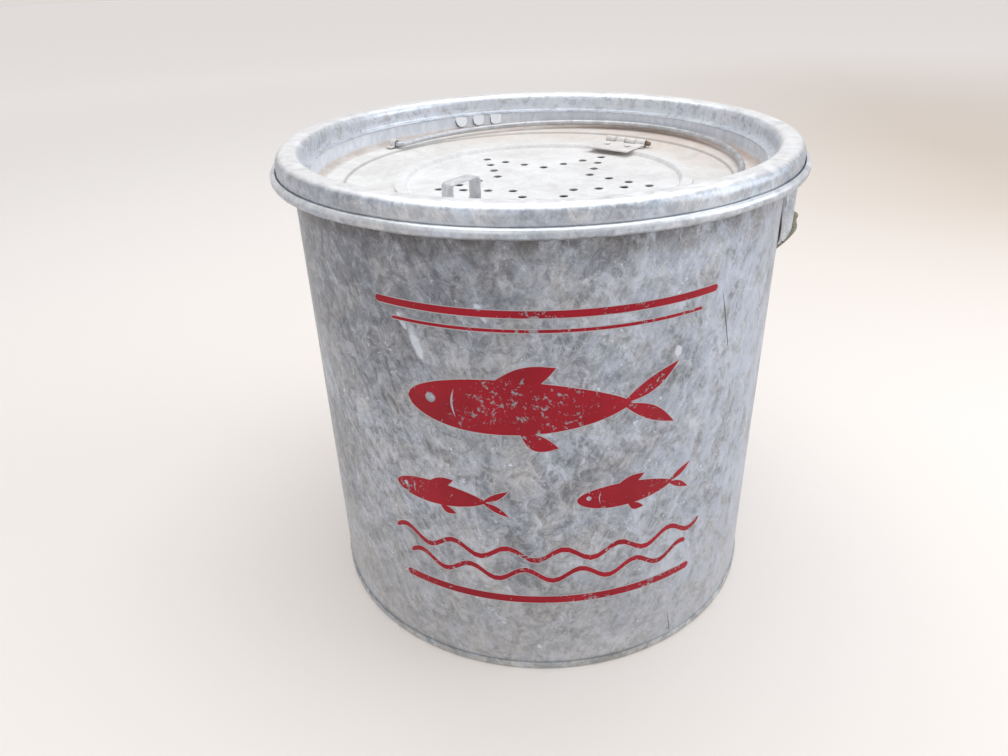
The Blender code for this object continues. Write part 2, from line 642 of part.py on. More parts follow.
def make_door():
    """Dished round door: rim flange, recessed floor with the star of holes, and the latch slot."""
    line = [(0, DOOR_FLOOR_LEVEL - DOOR_FLOOR_FALL),
            (LATCH_SHEET, DOOR_FLOOR_LEVEL - DOOR_FLOOR_FALL),
            (DOOR_RECESS_RADIUS - 2 * INNER_SHEET, DOOR_FLOOR_LEVEL),
            (DOOR_RECESS_RADIUS, DOOR_FLANGE_LEVEL),
            (DOOR_RADIUS, DOOR_FLANGE_LEVEL)]
    door = carry(turned("lid", sheet(line, INNER_SHEET)), door_swing, DECK_FINISH, DOOR_ORIGIN)
    deep = 6 * INNER_SHEET + DOOR_FLOOR_FALL
    holes = [((place.x, place.y, DOOR_FLOOR_LEVEL), (0, 0, 1), STAR_HOLE_RADIUS, deep)
             for place in star_places()]
    combine(door, pegs("star_holes", holes, 8), "DIFFERENCE")
    rivets = [((x, y, DOOR_FLOOR_LEVEL), (0, 0, 1), RIVET_HOLE_RADIUS, 2 * deep)
              for x, y in hinge_rivet_places() + latch_rivet_places()]
    combine(door, pegs("door_rivet_holes", rivets, 8), "DIFFERENCE")
    side = LATCH_WIDTH / 2 + TONGUE_SLOT_CLEARANCE
    slot_end = -LATCH_OUTER - LATCH_SHEET / 2 - TONGUE_SLOT_CLEARANCE
    slot = bricks("tongue_slot", [((slot_end, LATCH_ASIDE - side, DOOR_FLOOR_LEVEL - deep),
                                   (-LATCH_OUTER + TONGUE_SLOT_INWARD, LATCH_ASIDE + side,
                                    DOOR_FLOOR_LEVEL + deep))])
    combine(door, slot, "DIFFERENCE")


def knuckle_span(index):
    """Ends along Y of a hinge knuckle, counted from the pin's head end."""
    pitch = HINGE_LENGTH / KNUCKLES
    start = -HINGE_LENGTH / 2 + index * pitch
    return start + GAP / 2, start + pitch - GAP / 2


def make_hinge():
    """Small butt hinge folded shut: moving leaf, fixed leaf under it, and the pin."""
    relief = KNUCKLE_RADIUS + 2 * GAP
    reach = HINGE_LEAF_WIDTH + HINGE_OFFSET / 4
    fixed_level = SEAT_TOP + GAP + HINGE_FIXED_SHEET / 2
    for name, level, thick, inner, owned in (
            ("hinge_leaf_lid", LEAF_LEVEL, HINGE_SHEET, HINGE_RADIUS - reach, 0),
            ("hinge_leaf_deck", fixed_level, HINGE_FIXED_SHEET, DOOR_RADIUS + 4 * GAP, 1)):
        half = HINGE_LENGTH / 2
        outline = [(inner, -half), (HINGE_RADIUS, -half), (HINGE_RADIUS, half), (inner, half)]
        leaf = flat(name, outline, thick, "XY")
        leaf.data.transform(Matrix.Translation((0, 0, level)))
        if owned == 0:
            carry(leaf, door_swing, DECK_FINISH, DOOR_ORIGIN)
        else:
            carry(leaf, inner_bucket, DECK_FINISH)
            leaf.location = (*NECK_CENTRE, 0)
            leaf.rotation_euler.z = math.radians(HINGE_AZIMUTH)
        notches = []
        barrels = []
        for index in range(KNUCKLES):
            low, high = knuckle_span(index)
            if index % 2 == owned:
                middle = (HINGE_RADIUS, (low + high) / 2, HINGE_LEVEL)
                barrels.append((middle, (0, 1, 0), KNUCKLE_RADIUS, high - low))
            else:
                notches.append(((HINGE_RADIUS - relief, low - GAP, level - thick),
                                (HINGE_RADIUS + relief, high + GAP, level + thick)))
        bore = pegs(name + "_bore", [(DOOR_ORIGIN, (0, 1, 0), BORE_RADIUS, 2 * HINGE_LENGTH)])
        tools = [(bricks(name + "_notches", notches), "DIFFERENCE"),
                 (pegs(name + "_barrels", barrels), "UNION"),
                 (bore, "DIFFERENCE")]
        if owned == 0:
            shafts = [((x, y, level), (0, 0, 1), RIVET_HOLE_RADIUS, 3 * thick)
                      for x, y in hinge_rivet_places()]
            tools.append((pegs(name + "_rivet_holes", shafts, 8), "DIFFERENCE"))
        for tool, operation in tools:
            combine(leaf, tool, operation)
            tool.rotation_euler = leaf.rotation_euler
    end = HINGE_LENGTH / 2
    outline = [(0, end), (PIN_RADIUS, end), (PIN_RADIUS, -end - GAP), (PIN_HEAD_RADIUS, -end - GAP),
               (PIN_HEAD_RADIUS, -end - PIN_PROUD * 0.7), (PIN_RADIUS * 0.8, -end - PIN_PROUD),
               (0, -end - PIN_PROUD)]
    pin = turned("hinge_pin", outline, SMALL_SIDES)
    pin.data.transform(Matrix.Translation(DOOR_ORIGIN) @ Matrix.Rotation(math.radians(-90), 4, "X"))
    carry(pin, inner_bucket, RUSTY_FINISH)
    pin.location = (*NECK_CENTRE, 0)
    pin.rotation_euler.z = math.radians(HINGE_AZIMUTH)


def hinge_rivet_places():
    """The two rivets on the door's flange, as (x, y) with the hinge on +X."""
    radius = DOOR_RECESS_RADIUS + DOOR_FLANGE_WIDTH / 2
    half = HINGE_RIVET_SPACING / 2
    return [(math.sqrt(radius ** 2 - half ** 2), half), (math.sqrt(radius ** 2 - half ** 2), -half)]


def latch_rivet_places():
    """The two rivets through the latch strap's foot, as (x, y) with the hinge on +X."""
    middle = -(LATCH_INNER + LATCH_FOOT / 2)
    half = LATCH_RIVET_SPACING / 2
    return [(middle - half, LATCH_ASIDE), (middle + half, LATCH_ASIDE)]


def make_door_rivets():
    """Rivets of the hinge leaf, flush under the flange, and of the latch foot."""
    flange_bottom = DOOR_FLANGE_LEVEL - HALF_SHEET
    foot_top = LATCH_FOOT_LEVEL + LATCH_SHEET / 2
    floor_bottom = DOOR_FLOOR_LEVEL - HALF_SHEET - DOOR_FLOOR_FALL
    groups = [("hinge_rivet", hinge_rivet_places(), flange_bottom, LEAF_TOP + GAP, 0.0),
              ("latch_rivet", latch_rivet_places(), floor_bottom - GAP, foot_top + GAP, RIVET_HEAD_RADIUS)]
    for stem, places, low, high, tail in groups:
        for index, (x, y) in enumerate(places):
            piece = rivet("%s_%d" % (stem, index + 1), low, high, RIVET_SHANK_RADIUS, RIVET_HEAD_RADIUS,
                          RIVET_HEAD_HEIGHT, tail)
            piece.data.transform(Matrix.Translation((x, y, 0)))
            carry(piece, door_swing, DECK_FINISH, DOOR_ORIGIN)


def make_latch():
    """Spring strap with its foot under the arch, and its free leg down through the slot."""
    bend = LATCH_BEND
    line = [(-LATCH_INNER - LATCH_FOOT, LATCH_FOOT_LEVEL)]
    line += arc((-LATCH_INNER - bend, LATCH_FOOT_LEVEL + bend), bend, -90, 0, 3)
    line += arc((-LATCH_INNER - bend, LATCH_TOP - bend), bend, 0, 90, 3)
    line.append((-TONGUE_PIVOT_RADIUS + GAP / 2, LATCH_TOP))
    aside = Matrix.Translation((0, LATCH_ASIDE, 0))
    strap = flat("latch_strap", sheet(line, LATCH_SHEET), LATCH_WIDTH)
    strap.data.transform(aside)
    carry(strap, door_swing, WIRE_FINISH, DOOR_ORIGIN)
    shafts = [((x, y, LATCH_FOOT_LEVEL), (0, 0, 1), RIVET_HOLE_RADIUS, 3 * LATCH_SHEET)
              for x, y in latch_rivet_places()]
    combine(strap, pegs("latch_foot_holes", shafts, 8), "DIFFERENCE")
    nose = -(TONGUE_NOSE - LATCH_SHEET / 2)
    end = DOOR_FLOOR_LEVEL - TONGUE_DEPTH
    line = arc((-LATCH_OUTER + bend, LATCH_TOP - bend), bend, 90, 180, 3)
    line[0] = (-TONGUE_PIVOT_RADIUS - GAP / 2, LATCH_TOP)
    line += [(-LATCH_OUTER, DOOR_FLOOR_LEVEL - 2 * bend / 3),
             (nose, (DOOR_FLOOR_LEVEL + end) / 2 - bend / 2),
             (-LATCH_OUTER - bend / 2, end)]
    tongue = flat("latch_tongue", sheet(line, LATCH_SHEET), LATCH_WIDTH)
    tongue.data.transform(aside)
    carry(tongue, tongue_flex, WIRE_FINISH, tongue_place)


def make_inner_bail():
    """Thin wire handle of the inner bucket, lying in the deck's corner, with its two lugs."""
    tip = LUG_CENTRE + LUG_LENGTH / 2 + 2 * GAP
    half = [(tip, 0, 0)]
    half += [(x, y, 0) for x, y in arc((INNER_BAIL_HALF_SPAN + INNER_BAIL_BEND, INNER_BAIL_BEND),
                                       INNER_BAIL_BEND, -90, -180, 3)]
    hoop = [(x, y, 0) for x, y in arc((0, INNER_BAIL_BEND), INNER_BAIL_HALF_SPAN, 0, 90, 12,
                                      INNER_BAIL_REACH - INNER_BAIL_BEND)]
    half += hoop[1:]
    other = [(-x, y, z) for x, y, z in half[-2::-1]]
    carry(wire("inner_bail", half + other, INNER_BAIL_RADIUS), inner_bail_swing, WIRE_FINISH)
    radius = INNER_BAIL_RADIUS + LUG_CLEARANCE + LUG_SHEET / 2
    foot_level = DECK_TOP + GAP + LUG_SHEET / 2
    ring = arc((0, INNER_BAIL_LEVEL), radius, 0, 180, 6)
    line = [(radius + LUG_FOOT, foot_level), (radius, foot_level)] + ring + [
        (-radius, foot_level), (-radius - LUG_FOOT, foot_level)]
    for name, side in (("bail_lug_right", 0), ("bail_lug_left", 180)):
        lug = flat(name, sheet(line, LUG_SHEET), LUG_LENGTH, "YZ")
        turn = Matrix.Rotation(math.radians(HINGE_AZIMUTH - 90 + side), 4, "Z")
        lug.data.transform(turn @ Matrix.Translation((LUG_CENTRE, 0, 0)))
        carry(lug, inner_bucket, DECK_FINISH)


def ear_rivet_places():
    """The two rivets of an ear, as (azimuth from the ear's middle, height)."""
    offset = (EAR_WIDTH + EAR_BRIDGE_WIDTH) / 4
    azimuth = math.degrees(math.asin(offset / EAR_FLANGE_RADIUS))
    return [(azimuth, EAR_BOTTOM + EAR_RIVET_LIFT), (-azimuth, EAR_BOTTOM + EAR_RIVET_LIFT)]


def make_ears():
    """Pressed ears: flanges that follow the wall, and a raised bridge with the bail's hole."""
    edge = math.degrees(math.asin(EAR_WIDTH / 2 / EAR_FLANGE_RADIUS))
    root = math.degrees(math.asin(EAR_BRIDGE_WIDTH / 2 / EAR_FLANGE_RADIUS))
    rivet_azimuth = ear_rivet_places()[0][0]
    flange = [radial(angle, EAR_FLANGE_RADIUS) for angle in (edge, rivet_azimuth, root)]
    top_half = EAR_BRIDGE_WIDTH / 2 - EAR_BRIDGE_RISE / 4
    half = [(point.x, point.y) for point in flange]
    half += [(EAR_BRIDGE_RADIUS - EAR_SHEET, top_half), (EAR_BRIDGE_RADIUS, top_half - EAR_SHEET)]
    line = half + [(x, -y) for x, y in half[::-1]]
    number = 1
    for name, side in (("ear_right", 0), ("ear_left", 180)):
        ear = flat(name, sheet(line, EAR_SHEET), EAR_HEIGHT, "XY")
        ear.data.transform(Matrix.Translation((0, 0, (EAR_TOP + EAR_BOTTOM) / 2)))
        shield = rounded_rectangle(EAR_WIDTH, EAR_HEIGHT, EAR_CORNER, 4)
        outline = flat(name + "_shield", shield, 6 * EAR_BRIDGE_RISE, "YZ")
        outline.data.transform(Matrix.Translation((EAR_BRIDGE_RADIUS, 0, (EAR_TOP + EAR_BOTTOM) / 2)))
        hole_radius = BAIL_RADIUS + BAIL_HOLE_CLEARANCE
        shafts = [((EAR_BRIDGE_RADIUS, 0, PIVOT_LEVEL), (1, 0, 0), hole_radius, 3 * EAR_SHEET)]
        for azimuth, height in ear_rivet_places():
            direction = radial(azimuth)
            shafts.append((direction * EAR_FLANGE_RADIUS + Vector((0, 0, height)), direction,
                           EAR_RIVET_SHANK_RADIUS + GAP, 3 * EAR_SHEET))
        holes = pegs(name + "_holes", shafts)
        carry(ear, None, GALVANISED)
        combine(ear, as_cutter(outline), "INTERSECT")
        combine(ear, holes, "DIFFERENCE")
        for turned_piece in (ear, outline, holes):
            turned_piece.rotation_euler.z = math.radians(side)
        for azimuth, height in ear_rivet_places():
            low = PAIL_INSIDE * FLAT_FACTOR - GAP
            high = EAR_FLANGE_RADIUS + EAR_SHEET / 2 + GAP
            piece = rivet("ear_rivet_%d" % number, low, high, EAR_RIVET_SHANK_RADIUS, EAR_RIVET_HEAD_RADIUS,
                          EAR_RIVET_HEAD_HEIGHT, EAR_RIVET_HEAD_RADIUS * 0.85)
            lay_down = Matrix.Rotation(math.radians(90), 4, "Y")
            spin = Matrix.Rotation(math.radians(side + azimuth), 4, "Z")
            piece.data.transform(Matrix.Translation((0, 0, height)) @ spin @ lay_down)
            carry(piece, None, GALVANISED)
            number += 1


def rounded_rectangle(width, height, corner, steps):
    """Outline of a rectangle with round corners, centred on the origin."""
    points = []
    for index, (across, up) in enumerate(((1, 1), (-1, 1), (-1, -1), (1, -1))):
        centre = (across * (width / 2 - corner), up * (height / 2 - corner))
        points += arc(centre, corner, 90 * index, 90 * index + 90, steps)
    return points


def make_bail():
    """Wire bail: upset ends in the ears, arms bowed round the rim, and a straight for the grip."""
    head_in = PAIL_RADIUS + GAP + BAIL_RADIUS
    head_out = head_in + BAIL_RADIUS
    half = [(head_in, 0, 0), (head_out, 0, 0), (head_out + 2 * GAP, 0, 0)]
    half += [(x, y, 0) for x, y in arc((ARM_OFFSET - BAIL_BEND, BAIL_BEND), BAIL_BEND, -90, 0, 3)]
    bow = BAIL_HALF_SPAN - ARM_OFFSET
    for step in range(1, 5):
        along = step / 5
        across = ARM_OFFSET + bow * (1 - math.cos(math.pi * along)) / 2
        half.append((across, BAIL_BEND + (BAIL_SHOULDER - BAIL_BEND) * along, 0))
    half += [(x, y, 0) for x, y in arc((GRIP_STRAIGHT, BAIL_SHOULDER), BAIL_HALF_SPAN - GRIP_STRAIGHT,
                                       0, 90, 10, BAIL_REACH - BAIL_SHOULDER)]
    other = [(-x, y, z) for x, y, z in half[::-1]]
    ends = (BAIL_HEAD_FACTOR, BAIL_HEAD_FACTOR)
    carry(wire("bail", half + other, BAIL_RADIUS, ends), bail_swing, WIRE_FINISH)


def make_bail_grip():
    """Turned wooden grip, free to spin on the straight of the bail."""
    bore = BAIL_RADIUS + GRIP_BORE_CLEARANCE
    half = GRIP_LENGTH / 2
    groove = GRIP_RADIUS * 0.9
    shape = [(bore, half), (GRIP_END_RADIUS * 0.8, half), (GRIP_END_RADIUS, half * 0.96),
             (GRIP_RADIUS * 0.93, half * 0.72), (groove - 2 * GAP, half * 0.68),
             (GRIP_RADIUS * 0.95, half * 0.64), (GRIP_RADIUS, 0)]
    outline = shape + [(radius, -height) for radius, height in shape[-2::-1]]
    grip = turned("bail_grip", outline, 16)
    grip.data.transform(Matrix.Rotation(math.radians(90), 4, "Y"))
    carry(grip, grip_spin, WOOD_FINISH)


make_pail_wall()
make_rim_wire()
make_pail_bottom()
make_rim_cap()
make_deck_pan()
make_neck_tube()
make_float_floor()
make_basket_wall()
make_basket_bottom()
make_door()
make_hinge()
make_door_rivets()
make_latch()
make_inner_bail()
make_ears()
make_bail()
make_bail_grip()
bpy.context.view_layer.update()
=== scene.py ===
"""Looks of the galvanised floating minnow bucket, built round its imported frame.

Lengths are metres and angles degrees. Z is up, X runs from ear to ear, and the bucket's front is -Y.
"""

import math

import bmesh
import bpy
import numpy as np
from mathutils import Matrix, Vector


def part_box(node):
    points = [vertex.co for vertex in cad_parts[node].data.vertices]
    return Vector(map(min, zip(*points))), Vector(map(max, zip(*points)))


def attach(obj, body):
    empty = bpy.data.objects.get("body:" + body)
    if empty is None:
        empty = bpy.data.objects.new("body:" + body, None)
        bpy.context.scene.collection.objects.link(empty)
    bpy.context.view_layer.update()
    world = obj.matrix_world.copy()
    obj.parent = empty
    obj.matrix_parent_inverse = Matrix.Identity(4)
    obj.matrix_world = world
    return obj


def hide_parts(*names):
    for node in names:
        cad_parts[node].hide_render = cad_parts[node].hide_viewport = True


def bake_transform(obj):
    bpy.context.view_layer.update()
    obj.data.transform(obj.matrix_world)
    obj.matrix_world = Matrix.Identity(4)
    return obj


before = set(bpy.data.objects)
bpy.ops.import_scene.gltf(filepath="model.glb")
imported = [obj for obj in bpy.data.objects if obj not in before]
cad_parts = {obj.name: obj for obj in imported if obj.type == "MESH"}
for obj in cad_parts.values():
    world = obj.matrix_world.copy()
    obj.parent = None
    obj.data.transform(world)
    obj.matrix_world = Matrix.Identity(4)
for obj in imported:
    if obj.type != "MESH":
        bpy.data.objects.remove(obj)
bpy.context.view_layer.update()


# Pail wall
# A galvanised sheet rolled into a tube, closed by an upright lock seam and curled outwards at the
# top over a wire. Years of wet bait have dulled its zinc to a mottled grey with white bloom.
PAIL_RADIUS = 0.1172
PAIL_SHEET = 0.0007
ROLL_CLEARANCE = 0.0004
RIM_WIRE_RADIUS = 0.0018
HAIR_GAP = 0.0003
ON_AXIS = 0.00001
AROUND = 288
SEAM_AZIMUTH = 129.4
SEAM_WIDTH = 0.0055
SEAM_PROUD = 0.0008
wall_low, wall_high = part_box("pail_wall")


def arc(centre, radius, start, end, steps, tall=None):
    """Points of an elliptical arc: centre plus (radius cos a, tall sin a), a going from start to end."""
    angle = np.radians(np.linspace(start, end, steps + 1))
    rise = radius if tall is None else tall
    return np.stack([centre[0] + radius * np.cos(angle), centre[1] + rise * np.sin(angle)], axis=1)


def bent(corners, radii, steps=6):
    """Line through the corners, with each inner one rounded by a parabola that leaves its two sides
    at radius times the tangent of half the turn."""
    line = [[corners[0]]]
    for before, here, after, radius in zip(corners, corners[1:], corners[2:], radii):
        before, here, after = np.array(before), np.array(here), np.array(after)
        inward = (here - before) / np.linalg.norm(here - before)
        outward = (after - here) / np.linalg.norm(after - here)
        reach = radius * math.tan(math.acos(np.clip(inward @ outward, -1, 1)) / 2)
        share = np.linspace(0, 1, steps + 1)[:, None]
        line.append((1 - share) ** 2 * (here - inward * reach) + 2 * share * (1 - share) * here
                    + share ** 2 * (here + outward * reach))
    line.append([corners[-1]])
    return np.vstack(line)


def evened(line, step):
    """The same line with points added so that no stretch is longer than step."""
    line = np.asarray(line, float)
    length = np.linalg.norm(np.diff(line, axis=0), axis=1)
    parts = np.maximum(1, np.ceil(length / step).astype(int))
    place = np.concatenate([[0]] + [n + np.arange(1, count + 1) / count for n, count in enumerate(parts)])
    corners = np.arange(len(line))
    return np.stack([np.interp(place, corners, column) for column in line.T], axis=1)


def bent_sheet(line, thickness):
    """Closed section of bent sheet: the mid line moved half a thickness along its mitred normals,
    out on one side and back on the other."""
    step = np.diff(line, axis=0)
    step = step / np.linalg.norm(step, axis=1)[:, None]
    ahead = np.vstack([step, step[-1:]]) @ np.array([[0, 1], [-1, 0]])
    behind = np.vstack([step[:1], step]) @ np.array([[0, 1], [-1, 0]])
    mitre = (ahead + behind) / (1 + (ahead * behind).sum(1))[:, None]
    return np.vstack([line + mitre * thickness / 2, (line - mitre * thickness / 2)[::-1]])


def skin(name, points, wrap_rows=False, wrap_columns=False):
    """Mesh of quads on one grid of points, or on many of the same size: each point joins the next in
    its row and in its column, and a wrapped direction joins its last points to its first."""
    grids = points if points.ndim == 4 else points[None]
    index = np.arange(grids[..., 0].size).reshape(grids.shape[:3])
    if wrap_rows:
        index = np.concatenate([index, index[:, :1]], axis=1)
    if wrap_columns:
        index = np.concatenate([index, index[:, :, :1]], axis=2)
    corners = (index[:, :-1, :-1], index[:, 1:, :-1], index[:, 1:, 1:], index[:, :-1, 1:])
    quads = np.stack(corners, axis=-1).reshape(-1, 4)
    mesh = bpy.data.meshes.new(name)
    mesh.vertices.add(grids[..., 0].size)
    mesh.vertices.foreach_set("co", grids.astype(np.float32).ravel())
    mesh.loops.add(quads.size)
    mesh.loops.foreach_set("vertex_index", quads.astype(np.int32).ravel())
    mesh.polygons.add(len(quads))
    mesh.polygons.foreach_set("loop_start", np.arange(0, quads.size, 4, dtype=np.int32))
    mesh.update(calc_edges=True)
    piece = bpy.data.objects.new(name, mesh)
    bpy.context.scene.collection.objects.link(piece)
    return close_up(piece)


def close_up(piece, sharp=35.0):
    """Merges a skin's seams and poles, turns its faces outwards, and shades it smooth up to an angle."""
    build = bmesh.new()
    build.from_mesh(piece.data)
    bmesh.ops.remove_doubles(build, verts=build.verts, dist=2e-7)
    bmesh.ops.recalc_face_normals(build, faces=build.faces)
    build.to_mesh(piece.data)
    build.free()
    piece.data.shade_smooth()
    piece.data.set_sharp_from_angle(angle=math.radians(sharp))
    return piece


def around(count):
    """Azimuths of a ring of evenly spaced points."""
    return np.arange(count) * 360 / count


def turned(name, section, azimuths, shape=None):
    """Surface of revolution: a closed section of (radius, height) carried round Z, as
    (r cos a, r sin a, z). shape(a, r, z) may return dented r and z for arrays of azimuths in degrees.
    A section that starts and ends on the axis closes there by itself."""
    section = np.where(np.abs(section) < ON_AXIS, 0, section)
    azimuth = np.repeat(azimuths[:, None], len(section), axis=1)
    radius = np.repeat(section[None, :, 0], len(azimuths), axis=0)
    height = np.repeat(section[None, :, 1], len(azimuths), axis=0)
    if shape:
        radius, height = shape(azimuth, radius, height)
    turn = np.radians(azimuth)
    points = np.stack([radius * np.cos(turn), radius * np.sin(turn), height], axis=-1)
    return skin(name, points, wrap_rows=True, wrap_columns=section[0, 0] > HAIR_GAP)


def spun(name, line, step, sheet, azimuths, shape=None):
    """Sheet spun to a mid line of (radius, height), which gets a point at least every step."""
    return turned(name, bent_sheet(evened(line, step), sheet), azimuths, shape)


def angle_between(azimuth, other):
    """Signed difference of two azimuths, from -180 to 180 degrees."""
    return (azimuth - other + 180) % 360 - 180


SEAM_FOOT = 0.0060
SEAM_BELOW_RIM = 0.0062
DENTS_FROM = 0.006
DENTS_TO = 0.222
DENTS_FADE = 0.02
WALL_DENTS = ((262, 0.120, 26, 0.045, -0.0006), (238, 0.060, 18, 0.030, -0.0005),
              (291, 0.170, 22, 0.035, 0.0004), (20, 0.090, 24, 0.040, -0.0007),
              (160, 0.150, 30, 0.050, -0.0006), (95, 0.060, 22, 0.030, -0.0005))


def wall_dents(azimuth, height):
    """Depth of the wall's shallow dents: a sum of bell-shaped hollows, none at the rim or the foot."""
    depth = np.zeros_like(azimuth)
    for middle, level, wide, tall, deep in WALL_DENTS:
        across = angle_between(azimuth, middle) / wide
        up = (height - level) / tall
        depth += deep * np.exp(-across ** 2 - up ** 2)
    above_foot = np.clip((height - DENTS_FROM) / DENTS_FADE, 0, 1)
    return depth * above_foot * np.clip((DENTS_TO - height) / DENTS_FADE, 0, 1)


def shape_wall(azimuth, radius, height):
    """Wall with its shallow dents, and the folded lock seam standing proud on the outside."""
    from_seam = np.abs(angle_between(azimuth, SEAM_AZIMUTH)) * math.pi / 180 * PAIL_RADIUS
    fold = np.clip((SEAM_WIDTH / 2 - from_seam) / HAIR_GAP, 0, 1)
    outside = (radius > PAIL_RADIUS - PAIL_SHEET / 2) & (radius < PAIL_RADIUS + PAIL_SHEET / 2)
    below_roll = (height > SEAM_FOOT) & (height < wall_high.z - SEAM_BELOW_RIM)
    return radius + wall_dents(azimuth, height) + fold * SEAM_PROUD * (outside & below_roll), height


wall_mid = PAIL_RADIUS - PAIL_SHEET / 2
roll_radius = RIM_WIRE_RADIUS + ROLL_CLEARANCE + PAIL_SHEET / 2
roll_centre = wall_mid + roll_radius
roll_level = wall_high.z - PAIL_SHEET / 2 - roll_radius
roll_open = -math.degrees(math.acos((PAIL_RADIUS + HAIR_GAP + PAIL_SHEET / 2 - roll_centre) / roll_radius))
wall_foot = (wall_mid, wall_low.z + PAIL_SHEET / 2)
wall_line = np.vstack([arc((roll_centre, roll_level), roll_radius, roll_open, 180, 24), [wall_foot]])
seam_edge = math.degrees(SEAM_WIDTH / 2 / PAIL_RADIUS)
across_seam = SEAM_AZIMUTH + np.linspace(-1, 1, 21) * seam_edge
wall_azimuths = np.unique(np.concatenate([around(AROUND), across_seam]))
pail_skin = spun("pail_wall_skin", wall_line, 0.0045, PAIL_SHEET, wall_azimuths, shape_wall)


def colour(red, green, blue):
    """Linear colour of an sRGB one given as 0 to 255."""
    share = np.array([red, green, blue]) / 255
    linear = np.where(share <= 0.04045, share / 12.92, ((share + 0.055) / 1.055) ** 2.4)
    return (*[float(part) for part in linear], 1.0)


def node(tree, kind, inputs, **settings):
    """One shader node; each input is a number or colour, or another node's output to join to it."""
    made = tree.nodes.new("ShaderNode" + kind)
    for name, value in settings.items():
        setattr(made, name, value)
    for key, value in inputs.items():
        if isinstance(value, bpy.types.NodeSocket):
            tree.links.new(value, made.inputs[key])
        else:
            made.inputs[key].default_value = value
    return made


def finish(name, metallic):
    """A new material's tree and shader, and the place on the object that its patterns read."""
    material = bpy.data.materials.new(name)
    material.use_nodes = True
    tree = material.node_tree
    shader = tree.nodes["Principled BSDF"]
    shader.inputs["Metallic"].default_value = metallic
    return material, tree, shader, node(tree, "TexCoord", {}).outputs["Object"]


def stretched(tree, place, size, stretch=(1, 1, 1)):
    """The place measured in patches of a size, longer along an axis whose stretch is above 1."""
    scale = [1 / (size * part) for part in stretch]
    return node(tree, "Mapping", {"Vector": place, "Scale": scale}).outputs[0]


def noise(tree, place, size, detail=3.0, rough=0.5, warp=0.0, stretch=(1, 1, 1)):
    """Cloud noise from 0 to 1, in patches about size across."""
    return node(tree, "TexNoise", {"Vector": stretched(tree, place, size, stretch), "Scale": 1.0,
                                   "Detail": detail, "Roughness": rough, "Distortion": warp}).outputs[0]


def levels(tree, value, low, high, dark=0.0, light=1.0):
    """The value with low brought to dark and high to light, and nothing beyond them."""
    return node(tree, "MapRange", {"Value": value, "From Min": low, "From Max": high,
                                   "To Min": dark, "To Max": light}).outputs[0]


def patchy(tree, place, size, cut, *kind, stretch=(1, 1, 1), ends=(0.0, 1.0)):
    """Cloud noise in patches about size across, whose levels between the two of cut go from one of
    ends to the other. kind is the noise's detail, roughness and warp, as far as they are given."""
    return levels(tree, noise(tree, place, size, *kind, stretch=stretch), *cut, *ends)


def times(tree, product, *values):
    """Product of values."""
    for value in values:
        product = node(tree, "Math", {0: product, 1: value}, operation="MULTIPLY").outputs[0]
    return product


def weighed(tree, *pairs):
    """Sum of values, each times its weight."""
    total = 0.0
    for value, weight in pairs:
        total = node(tree, "Math", {0: value, 1: weight, 2: total}, operation="MULTIPLY_ADD").outputs[0]
    return total


def mixed(tree, share, one, other, blend="MIX"):
    """Colour that goes from one to other as the share goes from 0 to 1, or is multiplied by other."""
    return node(tree, "Mix", {0: share, 6: one, 7: other}, data_type="RGBA", blend_type=blend).outputs[2]


def relief(tree, shader, *layers):
    """Bumps laid over each other, each a height from 0 to 1 and its depth in metres."""
    normal = None
    for height, depth in layers:
        bump = node(tree, "Bump", {"Height": height, "Distance": depth})
        if normal:
            tree.links.new(normal, bump.inputs["Normal"])
        normal = bump.outputs[0]
    tree.links.new(normal, shader.inputs["Normal"])


def height_of(tree, place):
    """Height above the ground."""
    return node(tree, "SeparateXYZ", {"Vector": place}).outputs[2]


def right_of(tree, place):
    """Distance to the right of the bucket's axis."""
    return node(tree, "SeparateXYZ", {"Vector": place}).outputs[0]


def slanted(tree, place, degrees):
    """The place turned about Y, so that an upright pattern leans by an angle."""
    return node(tree, "VectorRotate", {"Vector": place, "Angle": math.radians(degrees)},
                rotation_type="Y_AXIS").outputs[0]


def coated(tree, place, paint, coats):
    """Paint with coats laid over it in turn. A coat gives its mask and its colour."""
    for coat in coats:
        share, over = coat(tree, place)
        paint = mixed(tree, share, paint, over)
    return paint


FEATHER_LEAN = 26
BLUE_CAST = (0.91, 0.955, 1.0, 1)
WARM_CAST = (1.0, 0.975, 0.925, 1)


